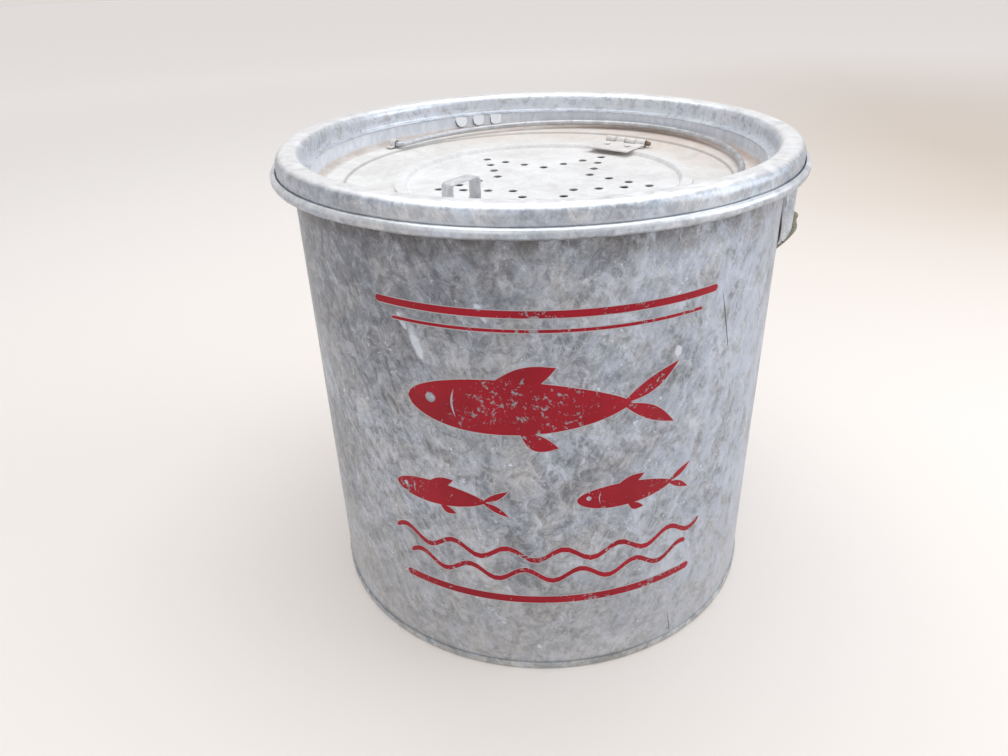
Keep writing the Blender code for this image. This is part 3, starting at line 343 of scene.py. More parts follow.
def zinc(name, dark, light, bloom, bloomed=0.60, metallic=0.7, rough=(0.36, 0.56), lay=None, coats=()):
    """Weathered galvanised sheet. Its tone follows broad clouds, the slanting feathers of the spangle,
    small mottles and a fine grain. Warm and blue casts drift over it, white bloom gathers in patches
    and flecks, and coats then add their mask and colour. lay gives the place on the sheet."""
    material, tree, shader, place = finish(name, metallic)
    sheet = lay(tree, place) if lay else place
    clouds = noise(tree, sheet, 0.036, 4, 0.6, 0.6)
    right = levels(tree, weighed(tree, (right_of(tree, place), 1.0), (clouds, 0.10)), 0.02, 0.08)
    left_lean, right_lean = [noise(tree, slanted(tree, sheet, lean), 0.0030, 5, 0.68, 0.7, (1, 1, 3.2))
                             for lean in (FEATHER_LEAN, -FEATHER_LEAN)]
    feathers = node(tree, "Mix", {0: right, 2: left_lean, 3: right_lean}).outputs[0]
    mottle = noise(tree, sheet, 0.0070, 6, 0.72, 0.9)
    grain = noise(tree, sheet, 0.0011, 3, 0.7)
    facets = node(tree, "TexVoronoi", {"Vector": stretched(tree, sheet, 0.010, (1, 1, 1.3)), "Scale": 1.0})
    facet = node(tree, "SeparateColor", {"Color": facets.outputs["Color"]}).outputs[0]
    tone = weighed(tree, (levels(tree, clouds, 0.38, 0.62), 0.20),
                   (levels(tree, feathers, 0.39, 0.61), 0.28), (levels(tree, mottle, 0.43, 0.57), 0.30),
                   (levels(tree, grain, 0.36, 0.64), 0.14), (facet, 0.08))
    paint = mixed(tree, tone, dark, light)
    drift = patchy(tree, sheet, 0.017, (0.36, 0.64), 4, 0.6, 0.5)
    paint = mixed(tree, 1.0, paint, mixed(tree, drift, BLUE_CAST, WARM_CAST), "MULTIPLY")
    patches = noise(tree, slanted(tree, sheet, 20), 0.0085, 6, 0.74, 0.7, (1, 1, 1.7))
    gathered = weighed(tree, (patches, 1.0), (clouds, 0.30), (right, 0.03))
    mask = levels(tree, gathered, bloomed + 0.13, bloomed + 0.20)
    paint = mixed(tree, times(tree, mask, 0.42), paint, bloom)
    flecks = patchy(tree, sheet, 0.0019, (0.655, 0.70), 2, 0.5, 0.4)
    flecked = patchy(tree, sheet, 0.014, (0.48, 0.60), 3, 0.5)
    paint = mixed(tree, times(tree, flecks, flecked, 0.75), paint, bloom)
    tree.links.new(coated(tree, place, paint, coats), shader.inputs["Base Color"])
    tree.links.new(levels(tree, weighed(tree, (tone, 0.6), (mask, 0.4)), 0.2, 0.9, *rough),
                   shader.inputs["Roughness"])
    relief(tree, shader, (mottle, 0.00010), (feathers, 0.00005), (grain, 0.00002))
    return material


def unrolled(tree, place):
    """The place on the wall's sheet as it lay flat: length along it from one edge of the lock seam to
    the other, which is R times the azimuth, then distance from the axis, then height."""
    turn = node(tree, "VectorRotate", {"Vector": place, "Angle": math.radians(180 - SEAM_AZIMUTH)},
                rotation_type="Z_AXIS").outputs[0]
    x, y, z = node(tree, "SeparateXYZ", {"Vector": turn}).outputs
    azimuth = node(tree, "Math", {0: y, 1: x}, operation="ARCTAN2").outputs[0]
    flat = {0: times(tree, azimuth, PAIL_RADIUS), 1: radius_of(tree, place), 2: z}
    return node(tree, "CombineXYZ", flat).outputs[0]


def radius_of(tree, place):
    """Distance from the bucket's axis."""
    flat = node(tree, "VectorMath", {0: place, 1: (1, 1, 0)}, operation="MULTIPLY").outputs[0]
    return node(tree, "VectorMath", {0: flat}, operation="LENGTH").outputs[1]


def spot(azimuth, height, wide, tall, lean, share, paint, torn=0.5):
    """Coat of one mark on the wall: an ellipse of half sizes wide and tall, leaning, with a torn edge."""
    def coat(tree, place):
        along = math.radians((azimuth - SEAM_AZIMUTH) % 360 - 180) * PAIL_RADIUS
        mark = {"Vector": unrolled(tree, place), "Location": (along, PAIL_RADIUS, height),
                "Rotation": (0, math.radians(-lean), 0), "Scale": (wide, 1, tall)}
        near = node(tree, "Mapping", mark, vector_type="TEXTURE").outputs[0]
        away = node(tree, "VectorMath", {0: near}, operation="LENGTH").outputs[1]
        edge = noise(tree, place, 0.0022, 4, 0.7)
        inside = levels(tree, weighed(tree, (away, 1.0), (edge, torn * 2)), 1.0 + torn, 0.7 + torn)
        return times(tree, inside, share), paint
    return coat


def dirt_and_shade_under_bead(tree, place):
    """Brown-grey dirt on the wall under the rim's bead, with painted shade where the bead overhangs it."""
    band = levels(tree, height_of(tree, place), 0.2110, 0.2225)
    ragged = patchy(tree, place, 0.0070, (0.42, 0.54), 6, 0.72, 0.7, stretch=(1, 1, 1.5), ends=(0.25, 1.0))
    return times(tree, band, ragged, 0.85), colour(84, 79, 75)


def splashed_foot(tree, place):
    """Pale film and dried splashes near the ground."""
    band = levels(tree, height_of(tree, place), 0.085, 0.004)
    spots = patchy(tree, place, 0.0040, (0.50, 0.62), 5, 0.7, 0.3, ends=(0.34, 0.70))
    return times(tree, band, spots), colour(214, 213, 212)


def right_side_cool_light(tree, place):
    """Painted light: the wall's right side made bluer and paler, as if lit by a cool light from that side."""
    side = levels(tree, right_of(tree, place), 0.025, 0.095)
    ragged = patchy(tree, place, 0.0110, (0.44, 0.54), 6, 0.72, 0.8, stretch=(1, 1, 1.4), ends=(0.08, 0.58))
    return times(tree, side, ragged), colour(198, 208, 226)


def left_side_painted_shade(tree, place):
    """Painted shade: the wall darker and duller high up on its left side."""
    side = levels(tree, right_of(tree, place), 0.030, -0.060)
    high = levels(tree, height_of(tree, place), 0.130, 0.205)
    ragged = patchy(tree, place, 0.0100, (0.43, 0.55), 6, 0.72, 0.8, ends=(0.2, 0.7))
    return times(tree, side, high, ragged), colour(104, 106, 113)


def white_runs(tree, place):
    """Thin white trickles down the wall."""
    thin = patchy(tree, place, 0.0022, (0.66, 0.76), 2, 0.5, 0.2, stretch=(1, 1, 18))
    where = patchy(tree, place, 0.030, (0.50, 0.66), 2, 0.5)
    return times(tree, thin, where, 0.5), colour(214, 215, 219)


WALL_DARK = colour(88, 91, 97)
WALL_LIGHT = colour(212, 216, 225)
WALL_BLOOM = colour(228, 234, 246)
SCRATCH = colour(70, 68, 70)
wall_marks = (spot(-109, 0.1750, 0.0022, 0.0070, 20, 0.7, WALL_BLOOM),
              spot(-112, 0.1845, 0.0014, 0.0045, 28, 0.6, WALL_BLOOM),
              spot(-41.8, 0.1745, 0.00045, 0.0180, 16.5, 0.8, SCRATCH, 0.15),
              spot(-95, 0.1930, 0.0052, 0.0014, -62, 0.65, WALL_BLOOM),
              spot(-84.5, 0.0150, 0.0012, 0.0016, 0, 0.7, WALL_BLOOM),
              spot(-50.5, 0.0110, 0.0004, 0.0090, 10, 0.6, SCRATCH, 0.15),
              spot(-55, 0.1690, 0.0020, 0.0030, 0, 0.7, WALL_BLOOM))
wall_zinc = zinc("galvanised_wall_zinc", WALL_DARK, WALL_LIGHT, WALL_BLOOM, 0.585, lay=unrolled,
                 coats=(right_side_cool_light, left_side_painted_shade, dirt_and_shade_under_bead, splashed_foot, white_runs, *wall_marks))


def install(piece, material, body, slot, *nodes):
    """Gives a finished piece its material and body and hides its CAD nodes; the slot is not used."""
    piece.data.materials.clear()
    piece.data.materials.append(material)
    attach(piece, body)
    if nodes:
        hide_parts(*nodes)


install(pail_skin, wall_zinc, "pail", "galvanised_wall", "pail_wall")


# Pail bottom
# One disc: the raised floor, whose edge turns down inside the wall and folds up round its foot,
# so the pail stands on a narrow ring. It is crimped and soldered to the wall.
PAIL_FLOOR = 0.0070
FLOOR_CORNER = 0.0030
FOOT_FOLD = 0.0040
floor_leg = PAIL_RADIUS - PAIL_SHEET - HAIR_GAP - PAIL_SHEET / 2
fold_leg = PAIL_RADIUS + HAIR_GAP / 4 + PAIL_SHEET / 2
fold_half = (fold_leg - floor_leg) / 2
fold_level = PAIL_SHEET / 2 + fold_half
dish = bent([(0, PAIL_FLOOR), (floor_leg, PAIL_FLOOR), (floor_leg, fold_level)], [FLOOR_CORNER])
foot = arc((floor_leg + fold_half, fold_level), fold_half, 180, 360, 10)
bottom_line = np.vstack([dish[:-1], foot, [(fold_leg, FOOT_FOLD)]])
pail_floor = spun("pail_bottom_skin", bottom_line, 0.006, PAIL_SHEET, around(AROUND))
# Painted highlight: the bottom's zinc is paler than the wall's, so the fold round the foot shows a light
# edge.
bottom_zinc = zinc("galvanised_bottom_zinc", colour(142, 144, 148), colour(222, 224, 226),
                   colour(236, 236, 236), bloomed=0.57)
install(pail_floor, bottom_zinc, "pail", "galvanised_wall", "pail_bottom")


# Rim wire
# Drawn wire that the pail's top edge is curled over. It is shut inside the roll, so its CAD node stays.
def wire_finish(name, dark, light, metallic=0.6, rough=(0.38, 0.6), rust=0.0):
    """Drawn steel wire: a fine grain, dull patches, and brown rust where rust is above 0."""
    material, tree, shader, place = finish(name, metallic)
    patches = noise(tree, place, 0.006, 4, 0.6, 0.5)
    paint = mixed(tree, levels(tree, patches, 0.3, 0.7), dark, light)
    if rust:
        spots = patchy(tree, place, 0.0028, (0.62 - 0.3 * rust, 0.74 - 0.2 * rust), 5, 0.7, 0.5)
        paint = mixed(tree, times(tree, spots, 0.85), paint, colour(96, 62, 42))
    tree.links.new(paint, shader.inputs["Base Color"])
    tree.links.new(levels(tree, patches, 0.3, 0.7, *rough), shader.inputs["Roughness"])
    relief(tree, shader, (noise(tree, place, 0.0008, 2, 0.5), 0.000012))
    return material


bright_wire = wire_finish("bright_wire_steel", colour(150, 152, 156), colour(190, 192, 196))
rim_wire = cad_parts["rim_wire"]
rim_wire.data.materials.clear()
rim_wire.data.materials.append(bright_wire)


# Bail ears
# Pressed shields of 1.2 mm steel, one at each side. The flanges follow the wall and the middle is
# raised into a bridge, open above and below, with the hole that the bail's end turns in.
EAR_WIDTH = 0.0340
EAR_TOP = 0.2220
EAR_BOTTOM = 0.1860
EAR_CORNER = 0.0060
EAR_SHEET = 0.0012
EAR_FLANGE = 0.1181
EAR_BRIDGE = 0.1235
EAR_BRIDGE_HALF = 0.0085
EAR_BRIDGE_SLOPE = 0.0028
PIVOT_LEVEL = 0.1970
BAIL_HOLE = 0.0021
EAR_RIVET_LEVEL = 0.2070
EAR_RIVET_AZIMUTH = 6.2
EAR_RIVET_RADIUS = 0.0030
EAR_RIVET_DOME = 0.0012
EAR_RIVET_TAIL = 0.0025
EAR_RIVET_PAST_WALL = 0.0007
RIVET_SEAT = 0.0002
AROUND_RIVET = 28
EAR_SPRUNG = 0.0008
SPRUNG_FROM = 0.0135
SPRUNG_OVER = 0.0035
SPRUNG_LEVEL = 0.2045
SPRUNG_FADE = 0.0080
EAR_TAPER = 0.0026
TAPER_LEVEL = 0.1925
TAPER_FADE = 0.0065


def pegs(name, centres, axes, radius, length, sides=24):
    """Round cutters: each is c + r (cos t E + sin t F) at both ends of its axis, closed by a fan."""
    centres = np.asarray(centres, float)
    axes = np.asarray(axes, float)
    aside = np.where(np.abs(axes[:, 2:]) > 0.9, [[1.0, 0, 0]], [[0, 0, 1.0]])
    first = np.cross(axes, aside)
    first = first / np.linalg.norm(first, axis=1)[:, None]
    second = np.cross(axes, first)
    turn = np.linspace(0, 2 * np.pi, sides, endpoint=False)
    ring = np.cos(turn)[:, None] * first[:, None] + np.sin(turn)[:, None] * second[:, None]
    reach = np.array([0, radius, radius, 0])[None, :, None, None]
    along = np.array([-0.5, -0.5, 0.5, 0.5])[None, :, None, None] * length
    points = centres[:, None, None] + reach * ring[:, None] + along * axes[:, None, None]
    return skin(name, points, wrap_columns=True)


def cut(piece, *cutters):
    """Applies a piece's modifiers, takes the cutters out of it, and deletes them."""
    for cutter in cutters:
        change = piece.modifiers.new("cut", "BOOLEAN")
        change.operation = "DIFFERENCE"
        change.solver = "EXACT"
        change.object = cutter
    bpy.context.view_layer.update()
    made = bpy.data.meshes.new_from_object(piece.evaluated_get(bpy.context.evaluated_depsgraph_get()))
    piece.modifiers.clear()
    piece.data = made
    for cutter in cutters:
        bpy.data.objects.remove(cutter, do_unlink=True)
    return close_up(piece)


def thickened(piece, thickness):
    """Gives a surface its sheet thickness, half on each side, and rounds its edges a little."""
    wall = piece.modifiers.new("sheet", "SOLIDIFY")
    wall.thickness = thickness
    wall.offset = 0
    wall.use_even_offset = True
    edge = piece.modifiers.new("edge", "BEVEL")
    edge.width = thickness * 0.25
    edge.segments = 2
    edge.limit_method = "ANGLE"
    edge.angle_limit = math.radians(50)
    return piece


def ear(name):
    """Shield on a grid of u across and v up: y = u w(v), where w narrows round the corners, and
    x goes from the wall's own curve to the bridge's level by a smooth step in the distance from the middle.
    The bridge dips at its foot, and the flanges' lower corners have sprung away from the wall."""
    up = np.concatenate([EAR_CORNER * (1 - np.cos(np.linspace(0, np.pi / 2, 9))),
                         np.linspace(EAR_CORNER, EAR_TOP - EAR_BOTTOM - EAR_CORNER, 24)[1:-1],
                         EAR_TOP - EAR_BOTTOM - EAR_CORNER * (1 - np.cos(np.linspace(np.pi / 2, 0, 9)))])
    from_end = np.minimum(np.minimum(up, EAR_TOP - EAR_BOTTOM - up), EAR_CORNER)
    half = EAR_WIDTH / 2 - EAR_CORNER + np.sqrt(EAR_CORNER ** 2 - (EAR_CORNER - from_end) ** 2)
    across = np.linspace(-1, 1, 81)[None, :] * half[:, None]
    step = np.clip((EAR_BRIDGE_HALF + HAIR_GAP - np.abs(across)) / EAR_BRIDGE_SLOPE, 0, 1)
    step = step * step * (3 - 2 * step)
    height = np.repeat((EAR_BOTTOM + up)[:, None], across.shape[1], axis=1)
    sprung = EAR_SPRUNG * np.clip((np.abs(across) - SPRUNG_FROM) / SPRUNG_OVER, 0, 1)
    sprung = sprung * np.clip((SPRUNG_LEVEL - height) / SPRUNG_FADE, 0, 1)
    dip = EAR_TAPER * np.clip((TAPER_LEVEL - height) / TAPER_FADE, 0, 1) ** 1.5
    out = (np.sqrt(EAR_FLANGE ** 2 - across ** 2) + sprung) * (1 - step) + (EAR_BRIDGE - dip) * step
    shield = thickened(skin(name, np.stack([out, across, height], axis=-1)), EAR_SHEET)
    return cut(shield, pegs("bail_hole", [(EAR_BRIDGE, 0, PIVOT_LEVEL)], [(1, 0, 0)], BAIL_HOLE, 0.006))


def rivet(name, sizes, place, material, body, slot):
    """Rivet: a domed head r sin a, h cos a over a shank down to low, with a flat tail head under it.
    sizes are the head's radius and height, the shank's lower end and the tail's radius."""
    radius, height, low, tail = sizes
    dome = arc((0, 0), radius, 90, 8, 8, height)
    shank = radius * 0.5
    foot = low - height * 0.7
    section = np.vstack([dome, [(radius * 0.97, 0), (shank, 0), (shank, low), (tail, low), (tail, foot),
                                (0, foot)]])
    piece = turned(name + "_skin", section, around(AROUND_RIVET))
    piece.data.transform(place)
    install(close_up(piece), material, body, slot, name)


ear_zinc = zinc("galvanised_ear_zinc", colour(170, 174, 181), colour(238, 241, 245), colour(244, 246, 248),
                metallic=0.5)
ear_rivet_out = EAR_FLANGE + EAR_SHEET / 2 + RIVET_SEAT
ear_rivet_low = PAIL_RADIUS - PAIL_SHEET - ear_rivet_out - EAR_RIVET_PAST_WALL
ear_rivet = (EAR_RIVET_RADIUS, EAR_RIVET_DOME, ear_rivet_low, EAR_RIVET_TAIL)
rivet_number = 1
for side, ear_name in ((0, "ear_right"), (180, "ear_left")):
    shield = ear(ear_name + "_skin")
    shield.data.transform(Matrix.Rotation(math.radians(side), 4, "Z"))
    install(close_up(shield), ear_zinc, "pail", "galvanised_fitting", ear_name)
    for azimuth in (EAR_RIVET_AZIMUTH, -EAR_RIVET_AZIMUTH):
        stand = (Matrix.Rotation(math.radians(side + azimuth), 4, "Z")
                 @ Matrix.Translation((ear_rivet_out, 0, EAR_RIVET_LEVEL))
                 @ Matrix.Rotation(math.radians(90), 4, "Y"))
        rivet("ear_rivet_%d" % rivet_number, ear_rivet, stand, ear_zinc, "pail", "galvanised_fitting")
        rivet_number += 1


# Rim cap
# Spun from one blank: a bead curled at the skirt's edge, the skirt that slips over the pail's roll,
# the round crown, the throat inside it, and the narrow ledge that the deck hangs from.
INNER_SHEET = 0.0006
CROWN_LEVEL = 0.2362
SKIRT_RADIUS = 0.1237
SHOULDER_RADIUS = 0.0042
BEAD_LEVEL = 0.2268
BEAD_HALF_WIDTH = 0.0015
BEAD_HALF_HEIGHT = 0.0020
CROWN_INNER = 0.0034
THROAT_RADIUS = 0.1124
LEDGE_LEVEL = 0.2273
LEDGE_CORNER = 0.0011
POCKET_RADIUS = 0.1091
RIM_WAVES_FROM = 0.1175
RIM_WAVES_OVER = 0.005
RIM_KNOCKS = ((247, 2.2, -0.0003), (318, 3.0, -0.0004))


def shape_rim(azimuth, radius, height):
    """Slow waves of up to 0.2 mm in the skirt and bead, and bell-shaped knocks."""
    wave = 0.00012 * np.sin(np.radians(azimuth * 3 + 40)) + 0.00008 * np.sin(np.radians(azimuth * 7))
    outside = np.clip((radius - RIM_WAVES_FROM) / RIM_WAVES_OVER, 0, 1)
    knocks = sum(deep * np.exp(-(angle_between(azimuth, middle) / wide) ** 2)
                 for middle, wide, deep in RIM_KNOCKS)
    return radius + (wave + knocks) * outside, height


ledge_end = (POCKET_RADIUS - INNER_SHEET / 2 - HAIR_GAP, LEDGE_LEVEL - INNER_SHEET)
cap_line = np.vstack([
    arc((SKIRT_RADIUS + BEAD_HALF_WIDTH, BEAD_LEVEL), BEAD_HALF_WIDTH, 110, -180, 20, BEAD_HALF_HEIGHT),
    arc((SKIRT_RADIUS - SHOULDER_RADIUS, CROWN_LEVEL - SHOULDER_RADIUS), SHOULDER_RADIUS, 0, 90, 10),
    arc((THROAT_RADIUS + CROWN_INNER, CROWN_LEVEL - CROWN_INNER), CROWN_INNER, 90, 180, 10),
    bent([(THROAT_RADIUS, LEDGE_LEVEL + 0.003), (THROAT_RADIUS, LEDGE_LEVEL), ledge_end], [LEDGE_CORNER])])
rim_cap = spun("rim_cap_skin", cap_line, 0.002, INNER_SHEET, around(AROUND), shape_rim)


def bead_top_highlight(tree, place):
    """Painted highlight: bright zinc along the bead's top, where it faces the light from above."""
    height = height_of(tree, place)
    bead = levels(tree, height, 0.2268, 0.2280)
    below = levels(tree, height, 0.2304, 0.2290)
    ragged = patchy(tree, place, 0.008, (0.36, 0.6), 4, 0.6, 0.5, ends=(0.4, 1.0))
    return times(tree, bead, below, ragged, 0.8), colour(236, 239, 243)


def bead_dirt_and_shade(tree, place):
    """Brown dirt along the bead's underside, with painted shade where it faces down."""
    low = levels(tree, height_of(tree, place), 0.2262, 0.2250)
    outside = levels(tree, radius_of(tree, place), 0.1232, 0.1240)
    ragged = patchy(tree, place, 0.006, (0.36, 0.6), 5, 0.65, 0.5, ends=(0.3, 1.0))
    return times(tree, low, outside, ragged, 0.6), colour(112, 104, 92)


def crown_bloom_and_top_light(tree, place):
    """White oxide on the crown's flat top, made brighter as painted light because the top faces up."""
    top = levels(tree, height_of(tree, place), 0.2350, 0.2362)
    ragged = patchy(tree, place, 0.007, (0.34, 0.60), 5, 0.65, 0.5, ends=(0.65, 1.0))
    return times(tree, top, ragged), colour(251, 252, 254)


def throat_light(tree, place):
    """Paler zinc down the throat, which the rain has washed."""
    inside = levels(tree, radius_of(tree, place), 0.1142, 0.1130)
    ragged = patchy(tree, place, 0.006, (0.30, 0.65), 5, 0.65, 0.5, stretch=(1, 1, 2), ends=(0.3, 1.0))
    return times(tree, inside, ragged, 0.85), colour(226, 231, 239)


def throat_shade(tree, place):
    """Grey and beige blotches left in the throat."""
    inside = levels(tree, radius_of(tree, place), 0.1142, 0.1130)
    blotches = patchy(tree, place, 0.0048, (0.50, 0.62), 5, 0.72, 0.8)
    beige = patchy(tree, place, 0.012, (0.45, 0.55), 2, 0.5)
    tint = mixed(tree, beige, colour(150, 155, 164), colour(176, 166, 158))
    return times(tree, inside, blotches, 0.50), tint


rim_zinc = zinc("galvanised_rim_zinc", colour(146, 152, 163), colour(228, 232, 240), colour(244, 246, 250),
                coats=(bead_top_highlight, bead_dirt_and_shade, crown_bloom_and_top_light, throat_light, throat_shade))
install(rim_cap, rim_zinc, "inner_bucket", "galvanised_wall", "rim_cap")


# Deck pan
# The sunken deck, drawn from sheet: an upstand that the ledge is soldered to, a pressed step, the
# seat that the door lies on, and a collar turned down into the neck. Three tabs are punched inwards
# in the upstand. Standing water has turned its zinc chalky, with a rust blush at the back right.
BASKET_TOP = 0.2261
DECK_TOP = 0.2180
DECK_FILLET = 0.0045
STEP_RADIUS = 0.0950
STEP_DEPTH = 0.0010
STEP_BEND = 0.0004
FALL_BEFORE_STEP = 0.2
SEAT_TOP = 0.2150
SEAT_RADIUS = 0.0843
SEAT_BEND = 0.0020
NECK_CENTRE = (0.0027, 0.0008, 0)
NECK_RADIUS = 0.0701
COLLAR_RADIUS = NECK_RADIUS + HAIR_GAP
COLLAR_DEPTH = 0.0062
COLLAR_BEND = 0.0008
OFF_CENTRE_REACH = (NECK_RADIUS + SEAT_RADIUS) / 2
DECK_WAVES_FROM = 0.086
DECK_WAVES_TO = 0.106
DECK_WAVES_FADE = 0.006
TAB_AZIMUTHS = (109.0, 114.8, 120.6)
TAB_WIDTH = 0.0066
TAB_LENGTH = 0.0056
TAB_LEAN = 18.0
TAB_SLOT = 0.0003
TAB_POWERS = (3.4, 2.6, 2.0)
TAB_STRAIGHT = 0.4
TAB_INWARD = 0.0004
WINDOW_START = 0.24
WINDOW_INWARD = 0.004
WINDOW_OUTWARD = 0.005


def shape_deck(azimuth, radius, height):
    """Deck sprung by use: waves of up to 0.2 mm between the seat and the upstand."""
    flat = (np.clip((radius - DECK_WAVES_FROM) / DECK_WAVES_FADE, 0, 1)
            * np.clip((DECK_WAVES_TO - radius) / DECK_WAVES_FADE, 0, 1))
    wave = 0.00014 * np.sin(np.radians(azimuth * 2 + 30)) + 0.00008 * np.sin(np.radians(azimuth * 5))
    return radius, height + wave * flat


def off_centre(piece, within=None):
    """Moves a piece, or what lies within a radius, from the bucket's axis to the neck's, which stands a
    little off the middle."""
    places = np.empty(3 * len(piece.data.vertices), np.float32)
    piece.data.vertices.foreach_get("co", places)
    places = places.reshape(-1, 3)
    moved = np.hypot(places[:, 0], places[:, 1]) < (within or PAIL_RADIUS)
    places[moved] += np.array(NECK_CENTRE, np.float32)
    piece.data.vertices.foreach_set("co", places.ravel())
    piece.data.update()
    return piece


def tab_half(down, power):
    """Half a tab's width at a share u of its length: W / 2 down to its straight part's end S, then
    (1 - ((u - S) / (1 - S)) ** p) ** (1 / p) of that, whose power p makes a half round or a shield."""
    rounded = np.clip((down - TAB_STRAIGHT) / (1 - TAB_STRAIGHT), 0, 0.9999)
    return (1 - rounded ** power) ** (1 / power) * TAB_WIDTH / 2


def tab_end(steps):
    """Shares of a tab's length over its rounded end, closer together towards its tip."""
    return TAB_STRAIGHT + (1 - TAB_STRAIGHT) * np.sin(np.linspace(0, np.pi / 2, steps))


def tab_windows():
    """Cutter of the three windows that the tabs were punched from, each a slot wider than its tab."""
    down = np.concatenate([[WINDOW_START], tab_end(16)])
    height = BASKET_TOP - (TAB_LENGTH * math.cos(math.radians(TAB_LEAN)) + TAB_SLOT) * down
    through = np.array([-WINDOW_INWARD, -WINDOW_INWARD, WINDOW_OUTWARD, WINDOW_OUTWARD])
    grids = []
    for azimuth, power in zip(TAB_AZIMUTHS, TAB_POWERS):
        side = np.stack([tab_half(down, power) + TAB_SLOT, height], axis=1)
        outline = np.vstack([side, side[::-1] * (-1, 1)])
        middle = np.array([0, height.mean()])
        flat = middle + (outline[None] - middle) * np.array([0, 1, 1, 0])[:, None, None]
        out = np.repeat(POCKET_RADIUS + through[:, None], flat.shape[1], axis=1)
        grids.append(turned_by(np.stack([out, flat[..., 0], flat[..., 1]], axis=-1), azimuth))
    return skin("windows", np.stack(grids), wrap_columns=True)


def turned_by(points, degrees):
    """Points turned about Z."""
    turn = math.radians(degrees)
    spin = np.array([[math.cos(turn), -math.sin(turn), 0], [math.sin(turn), math.cos(turn), 0], [0, 0, 1]])
    return np.asarray(points) @ spin.T


def tabs():
    """Three tongues with rounded ends, leaning inwards."""
    down = np.concatenate([np.linspace(0, TAB_STRAIGHT, 8), tab_end(14)[1:]])
    lean = math.radians(TAB_LEAN)
    inward = TAB_INWARD + TAB_LENGTH * np.sin(lean) * down ** 1.2
    fall = TAB_LENGTH * np.cos(lean) * down
    grids = []
    for azimuth, power in zip(TAB_AZIMUTHS, TAB_POWERS):
        across = np.linspace(-1, 1, 13)[None, :] * tab_half(down, power)[:, None]
        out = np.sqrt(POCKET_RADIUS ** 2 - across ** 2) - inward[:, None]
        height = np.repeat((BASKET_TOP + HAIR_GAP - fall)[:, None], across.shape[1], axis=1)
        grids.append(turned_by(np.stack([out, across, height], axis=-1), azimuth))
    return thickened(skin("deck_tabs", np.stack(grids)), INNER_SHEET)


half_sheet = INNER_SHEET / 2
deck_under = DECK_TOP - half_sheet
step_top = deck_under - (DECK_TOP - SEAT_TOP - STEP_DEPTH) * FALL_BEFORE_STEP
step_foot = STEP_RADIUS - STEP_DEPTH / 2
deck_corners = [(POCKET_RADIUS, LEDGE_LEVEL - INNER_SHEET), (POCKET_RADIUS, deck_under),
                (STEP_RADIUS + STEP_DEPTH / 2, step_top), (step_foot, step_top - STEP_DEPTH),
                (SEAT_RADIUS, SEAT_TOP - half_sheet), (COLLAR_RADIUS, SEAT_TOP - half_sheet),
                (COLLAR_RADIUS, SEAT_TOP - COLLAR_DEPTH)]
deck_line = bent(deck_corners, [DECK_FILLET, STEP_BEND, STEP_BEND, SEAT_BEND, COLLAR_BEND])
whole_deck = spun("deck_pan_skin", deck_line, 0.0035, INNER_SHEET, around(AROUND), shape_deck)
deck = cut(off_centre(whole_deck, OFF_CENTRE_REACH), tab_windows())


def towards(tree, place, way):
    """Distance from the bucket's axis in a direction."""
    return node(tree, "VectorMath", {0: place, 1: way}, operation="DOT_PRODUCT").outputs[1]


def blush(tree, place):
    """Rust-pink blush on the side of the deck that dries last."""
    back_right = levels(tree, towards(tree, place, (0.83, 0.56, 0.0)), 0.070, 0.108)
    ragged = patchy(tree, place, 0.016, (0.35, 0.62), 5, 0.6, 0.8)
    return times(tree, back_right, ragged, 0.55), colour(204, 176, 158)


def back_stain(tree, place):
    """Beige stain along the back of the deck."""
    back = levels(tree, towards(tree, place, (0.30, 0.95, 0.0)), 0.015, 0.095)
    ragged = patchy(tree, place, 0.020, (0.30, 0.60), 5, 0.6, 0.8, ends=(0.3, 1.0))
    outside = levels(tree, radius_of(tree, place), 0.072, 0.084, 0.35, 1.0)
    return times(tree, back, ragged, outside, 0.75), colour(216, 203, 192)


def upstand_zinc(tree, place):
    """Bare grey zinc on the upstand, above the water that stands on the deck."""
    wet = weighed(tree, (height_of(tree, place), 1.0), (noise(tree, place, 0.010, 3, 0.6), 0.0030))
    return levels(tree, wet, 0.2213, 0.2228), colour(218, 221, 228)


def upstand_light(tree, place):
    """Lighter feathers in the upstand's zinc."""
    bare = upstand_zinc(tree, place)[0]
    feathers = patchy(tree, place, 0.0045, (0.42, 0.64), 5, 0.7, 0.6, stretch=(1, 1, 2))
    return times(tree, bare, feathers, 0.8), colour(240, 242, 247)


def edge_dirt(tree, place):
    """Grey-brown dirt in the corner between the deck and its upstand."""
    outside = levels(tree, radius_of(tree, place), 0.1035, 0.1062)
    low = levels(tree, height_of(tree, place), 0.2215, 0.2190)
    ragged = patchy(tree, place, 0.007, (0.30, 0.60), 4, 0.6, 0.5, ends=(0.3, 1.0))
    return times(tree, outside, low, ragged, 0.6), colour(180, 158, 144)


def step_shade_line(tree, place):
    """Painted shade: a thin dark line in the pressed step."""
    past = node(tree, "Math", {0: radius_of(tree, place), 1: step_foot}, operation="SUBTRACT").outputs[0]
    near = levels(tree, node(tree, "Math", {0: past}, operation="ABSOLUTE").outputs[0], 0.0009, 0.0002)
    return times(tree, near, 0.5), colour(140, 132, 126)


